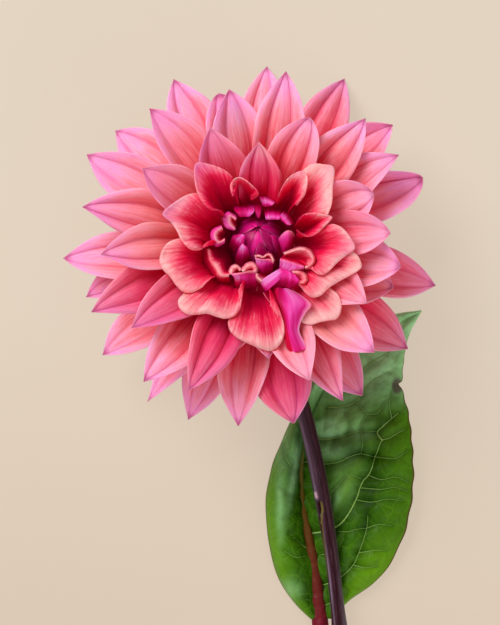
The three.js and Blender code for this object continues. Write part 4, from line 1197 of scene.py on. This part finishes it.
stem.make("stem_skin", stem_material(), "stem")

# The leaf

LEAF_TIP = (62, -27, 9)
MIDRIB = [
    (26.5, -160.5, 5.9), (24.7, -154.5, 4.7), (23.6, -144, 3.4), (21.2, -122, 2.4), (17.6, -104, 2),
    (16.4, -90, 2), (17.4, -78, 2), (21, -66, 2.2), (27.4, -54, 3), (37, -43, 4.4), (49, -34, 6.4), LEAF_TIP,
]
LEFT_MARGIN = [
    (23.4, -147, 3.4), (14.4, -138.4, 3), (7.6, -128, 2.4), (4.6, -116, 1.8), (3.2, -101, 1.6),
    (5.4, -87, 1.8), (11.8, -71, 2.4), (18.4, -55, 4), (28, -42, 5.6), (40, -33, 7.4),
    (52, -28.4, 8.6), LEAF_TIP,
]
RIGHT_MARGIN = [
    (26.6, -147, 3.4), (34, -138, 2), (44.4, -130.4, 3), (51, -122, 4.6), (56.2, -110, 6.4), (58.9, -95, 8),
    (58.8, -80, 9), (57.2, -66, 8.6), (55, -57, 7), (55.4, -46, 6), (57.4, -36, 7), LEAF_TIP,
]
MIDRIB_RADII = [2.6, 3, 3.1, 2, 1.35, 1.1, 0.95, 0.9, 0.85, 0.75, 0.6, 0.45]
MIDRIB_FLATNESS, MIDRIB_RINGS, MIDRIB_SIDES = 0.78, 140, 16
# The share of the midrib's line that is stalk, and the power that sweeps the blade's rows towards its tip.
STALK_SHARE, SWEEP = 0.1, 0.82
ARCH_LEFT, ARCH_RIGHT = 7.4, 4.0
NOTCH_AT, NOTCH_DEPTH = 0.735, 0.06
LEAF_THICKNESS, LEAF_LIFT, LEAF_LOWEST = 0.8, 1.5, 0.92
LEAF_ROWS, LEAF_COLUMNS, EDGE_POINTS = 280, 151, 600

# Veins as seen from the front.
MAIN_VEINS = [
    [(18.6, -112), (24.5, -111.2), (30.6, -108.6), (33.4, -105.7), (37.2, -99), (39.8, -91.9), (42.2, -89),
     (44.8, -81.9), (47.2, -76.1), (49.6, -75.3), (52.5, -73.6), (55.6, -72)],
    [(47.2, -76.1), (45.4, -73.2), (47.6, -70.6), (50.8, -67.8), (53.4, -65.6)],
]
MIDDLE_VEINS = [
    [(23.3, -132), (28, -130.4), (32.5, -127.5), (36.3, -123.7), (38.6, -118.5), (41.4, -109.5),
     (41.8, -104.7)],
    [(17, -74.6), (23.9, -75.9), (30.6, -75.2), (35.3, -73.5), (39.1, -72.6), (45.2, -72.8)],
    [(17.5, -84.5), (25.6, -85.3), (31.5, -84.2), (34.4, -82.6), (39.1, -81.3), (44, -82.4)],
    [(17.4, -89.9), (13.6, -87.3), (10.8, -82.8), (9.4, -78)],
    [(18.6, -117.6), (15.8, -115.2), (12, -111.4)],
    [(26.6, -63.8), (34.4, -62.8), (38, -60.4), (43, -54), (50, -50)],
    [(31, -49.4), (37, -50.6), (44, -46), (51, -42)],
]
SMALL_VEINS = [
    [(44, -82.4), (48, -82.8), (52.4, -82.8), (57, -80)], [(34.8, -88.5), (37, -89.8), (39.8, -90.9)],
    [(42, -89.4), (46.7, -90.9), (52.5, -90), (57, -92)],
    [(39, -94.2), (46.7, -94.6), (52, -94), (57, -95.4)],
    [(37.4, -98.8), (42.9, -99.5), (49.1, -98.4), (55, -99)], [(27.7, -96.1), (30.4, -93.2), (33.4, -89.9)],
    [(37.2, -61.9), (41, -66.1), (39.3, -70.2), (39.1, -72.8)],
    [(41, -66.1), (45.3, -65.7), (48.6, -61.4), (53, -60)],
    [(30.6, -111), (34.4, -110.9), (37.2, -110), (41.6, -109.5)], [(39.2, -72.8), (39.8, -77), (39.2, -81)],
    [(41.4, -109.5), (46, -108), (51, -108.6)], [(38.4, -119), (44, -118), (49, -118)],
    [(24, -120), (29, -118.6), (33, -113)], [(18, -104.5), (14, -104), (9.6, -106)],
    [(18.2, -120.4), (14.4, -120.6), (10, -118)], [(17.6, -97), (13, -97.4), (8.4, -94)],
    [(28, -79.6), (29.4, -76)], [(23.5, -103), (27, -99.8), (27.9, -96)],
    [(50.8, -67.8), (49.8, -62), (51.4, -56)], [(33.5, -66), (34.6, -70), (33.9, -73.6)],
    [(36.3, -123.7), (41, -124.6), (45.6, -124)], [(25, -139.5), (30, -137), (34, -133.8)],
    [(22.6, -138), (18, -136.6)],
]
VEIN_LIFT, VEIN_SIDES, VEIN_NEIGHBOURS = 0.42, 6, 4
# Each kind of vein with its thickest radius and how strong its colour is.
VEIN_KINDS = [(MAIN_VEINS, 0.36, 1), (MIDDLE_VEINS, 0.26, 0.7), (SMALL_VEINS, 0.19, 0.45)]
# Soft spots as seen from the front: strength, middle, half width, half height and lean to the right. The
# light and sheen spots are painted light and highlights, the shade spots painted shade.
LIGHT_SPOTS = [
    (0.4, 47, -69, 7, 9, 0), (0.65, 32, -69, 10, 9, 0), (0.3, 33, -90, 6, 12, 0),
    (0.5, 33.5, -94, 2, 11, 0.45),
]
SHEEN_SPOTS = [
    (1.1, 26, -72, 6.5, 3, 0), (0.5, 28, -80.5, 8, 2.6, 0), (0.7, 13.6, -88, 1.3, 12, 0.16),
    (0.35, 8.5, -100, 1.6, 14, 0), (0.3, 30.5, -98, 1.6, 4, 0.4), (0.35, 12.5, -133, 3.4, 4, 0),
    (0.3, 40, -74, 5, 2, 0), (0.42, 33, -68, 10, 8, 0), (0.14, 33, -90, 6, 12, 0), (0.3, 11, -80, 4, 9, 0),
]
SHADE_SPOTS = [
    (0.6, 36.5, -80, 6, 3.4, 0), (0.6, 42, -100, 3, 12, 0.3), (0.5, 46, -68, 5, 4, 0),
    (0.5, 30, -104, 2.4, 7, 0.5),
]
BROWN_SPOTS = [(1, 52.8, -55.4, 2.4, 3.6, 0)]

# The blade: u runs from the stalk to the tip, v from the right margin (1) over the midrib to the left (-1).
u = np.linspace(0.012, 0.998, LEAF_ROWS)[:, None]
v = np.linspace(1, -1, LEAF_COLUMNS)[None]
x = np.abs(v)
from_rib = sample(smooth_path(MIDRIB, EDGE_POINTS)[0], STALK_SHARE + (1 - STALK_SHARE) * u[:, 0])
notch = 1 - NOTCH_DEPTH * dip(u - NOTCH_AT, 0.01) * (v > 0)
tooth = notch + 0.006 * np.sin(2 * np.pi * (5.3 * u + 9 * u**2)) * x**6
surface = np.zeros((u.size, v.size, 3))
for margin, part in ((LEFT_MARGIN, v[0] < 0), (RIGHT_MARGIN, v[0] >= 0)):
    to = sample(smooth_path(margin, EDGE_POINTS)[0], u[:, 0] ** SWEEP)
    share = (x * tooth)[:, part, None]
    surface[:, part] = from_rib[:, None] * (1 - share) + to[:, None] * share
right, down, height = (surface[..., k] for k in range(3))
height += np.sin(np.pi * u**0.75) ** 0.8 * np.where(v < 0, ARCH_LEFT, ARCH_RIGHT) * np.sin(np.pi * x**1.35)
main, middling, small = (nearest(surface[..., :2], lines) for lines, _, _ in VEIN_KINDS)
rib = x * np.linalg.norm(surface[:, -1] - surface[:, 0], axis=1)[:, None] / 2
inside = smoothstep(0, 0.12, 1 - x) * smoothstep(0, 0.05, u) * (1 - smoothstep(0.93, 1, u))
relief = -2.0 * dip(main, 4) - 1.7 * dip(middling, 2.6) - 1.1 * dip(small, 1.9) - 1.2 * dip(rib, 4)
relief -= 0.25 * dip(main, 0.8) + 0.2 * dip(middling, 0.7)
ripple = 0.22 * np.sin(down / 1.9 + right / 5) * dip(v - 0.25, 0.2) * (u < 0.62)
height += inside * (LEAF_LIFT + relief * (1 - 0.65 * smoothstep(-74, -58, down)) + ripple)
np.maximum(height, LEAF_LOWEST, out=height)


def spots(places):
    total = 0
    for strength, x, y, wide, tall, lean in places:
        up = down - y
        total = total + strength * np.exp(-(((right - x - lean * up) / wide) ** 2) - (up / tall) ** 2)
    return total


# Brighter yellow-green low on the right and along the left margin, partly the leaf's own colour and partly
# painted light, and a greyish painted sheen towards the tip.
light = 0.08 + 0.62 * smoothstep(0.4, 0.8, v) * (1 - smoothstep(-128, -106, down)) + spots(LIGHT_SPOTS)
light += 0.3 * smoothstep(0.6, 1, x) + 0.4 * smoothstep(0.3, 0.9, -v) * (1 - smoothstep(-110, -80, down))
haze = 0.75 * smoothstep(-68, -50, down) + 0.2 * smoothstep(-40, -30, down) + spots(SHEEN_SPOTS)
shade = 0.75 * dip(rib, 3.4) * (v < 0) * smoothstep(-128, -104, down) + spots(SHADE_SPOTS)
shade += 0.4 * dip(main, 2.2) + 0.4 * dip(middling, 1.4) + 0.3 * dip(small, 1.1)
shade = np.minimum(shade, 0.85) * (1 - smoothstep(-60, -52, down))
leaf = Piece(along=0, side=0, main=9, rib=0, light=0, haze=0, shade=0, spot=0, margin=0)
leaf.blade(
    surface, LEAF_THICKNESS - 0.3 * x**4, main=main, light=light, haze=np.minimum(haze, 0.9), shade=shade,
    spot=spots(BROWN_SPOTS), margin=x, along=u,
)
line, place = smooth_path(MIDRIB, MIDRIB_RINGS)
place = place[:, None]
leaf.tube(hose(line, spline(MIDRIB_RADII, place), turns(MIDRIB_SIDES), MIDRIB_FLATNESS), rib=1, along=place)
leaf.make("leaf_blade", leaf_material(), "leaf")

# The veins lie on the leaf: each point's height is that of the surface's nearest points.
veins = Piece(strong=0)
for lines, thickest, strong in VEIN_KINDS:
    for points in lines:
        line, place = flat_path(points, 8)
        for point in line:
            away = np.hypot(right - point[0], down - point[1]).ravel()
            close = np.argsort(away)[:VEIN_NEIGHBOURS]
            point[2] = np.average(height.ravel()[close], weights=1 / (away[close] + 0.05)) + VEIN_LIFT
        thinner = 1 - 0.6 * place[:, None]
        veins.tube(hose(line, thickest * thinner, turns(VEIN_SIDES)), strong=strong * thinner)
veins.make("leaf_veins", vein_material(), "leaf")

# The table, light and camera

# In metres, but for the sensor.
TABLE_SIZE, LOOK_AT, WORLD_STRENGTH = 6, (0, 0.03, 0.03), 0.48
SENSOR, SEES_TO = 36, 20

bpy.ops.mesh.primitive_plane_add(size=TABLE_SIZE)
floor = bpy.context.object
floor.name = "table_top"
floor.data.materials.append(floor_material())

world = bpy.data.worlds.new("studio")
bpy.context.scene.world = world
world.use_nodes = True
background = world.node_tree.nodes["Background"]
background.inputs["Color"].default_value = (1.0, 0.97, 0.94, 1)
background.inputs["Strength"].default_value = WORLD_STRENGTH


def area_light(name, place, size, energy, colour):
    data = bpy.data.lights.new(name, "AREA")
    data.energy = energy
    data.size = size
    data.color = colour
    light = bpy.data.objects.new(name, data)
    light.location = place
    light.rotation_euler = (Vector(LOOK_AT) - light.location).to_track_quat("-Z", "Y").to_euler()
    bpy.context.collection.objects.link(light)


area_light("key", place=(-0.9, 1.0, 1.3), size=1.1, energy=37, colour=(1.0, 0.98, 0.96))
area_light("fill", place=(0.9, -1.3, 0.9), size=1.4, energy=13, colour=(1.0, 0.97, 0.95))

lens = bpy.data.cameras.new("camera")
lens.sensor_width = SENSOR
lens.lens = SENSOR * DISTANCE / FRAME_TALL
lens.clip_end = SEES_TO
camera = bpy.data.objects.new("camera", lens)
camera.location = (np.array([*VIEW_MIDDLE, PLANE + DISTANCE]) + LAYOUT_ORIGIN) * MM
bpy.context.collection.objects.link(camera)
bpy.context.scene.camera = camera
bpy.context.scene.view_settings.view_transform = "Standard"

bpy.context.view_layer.update()
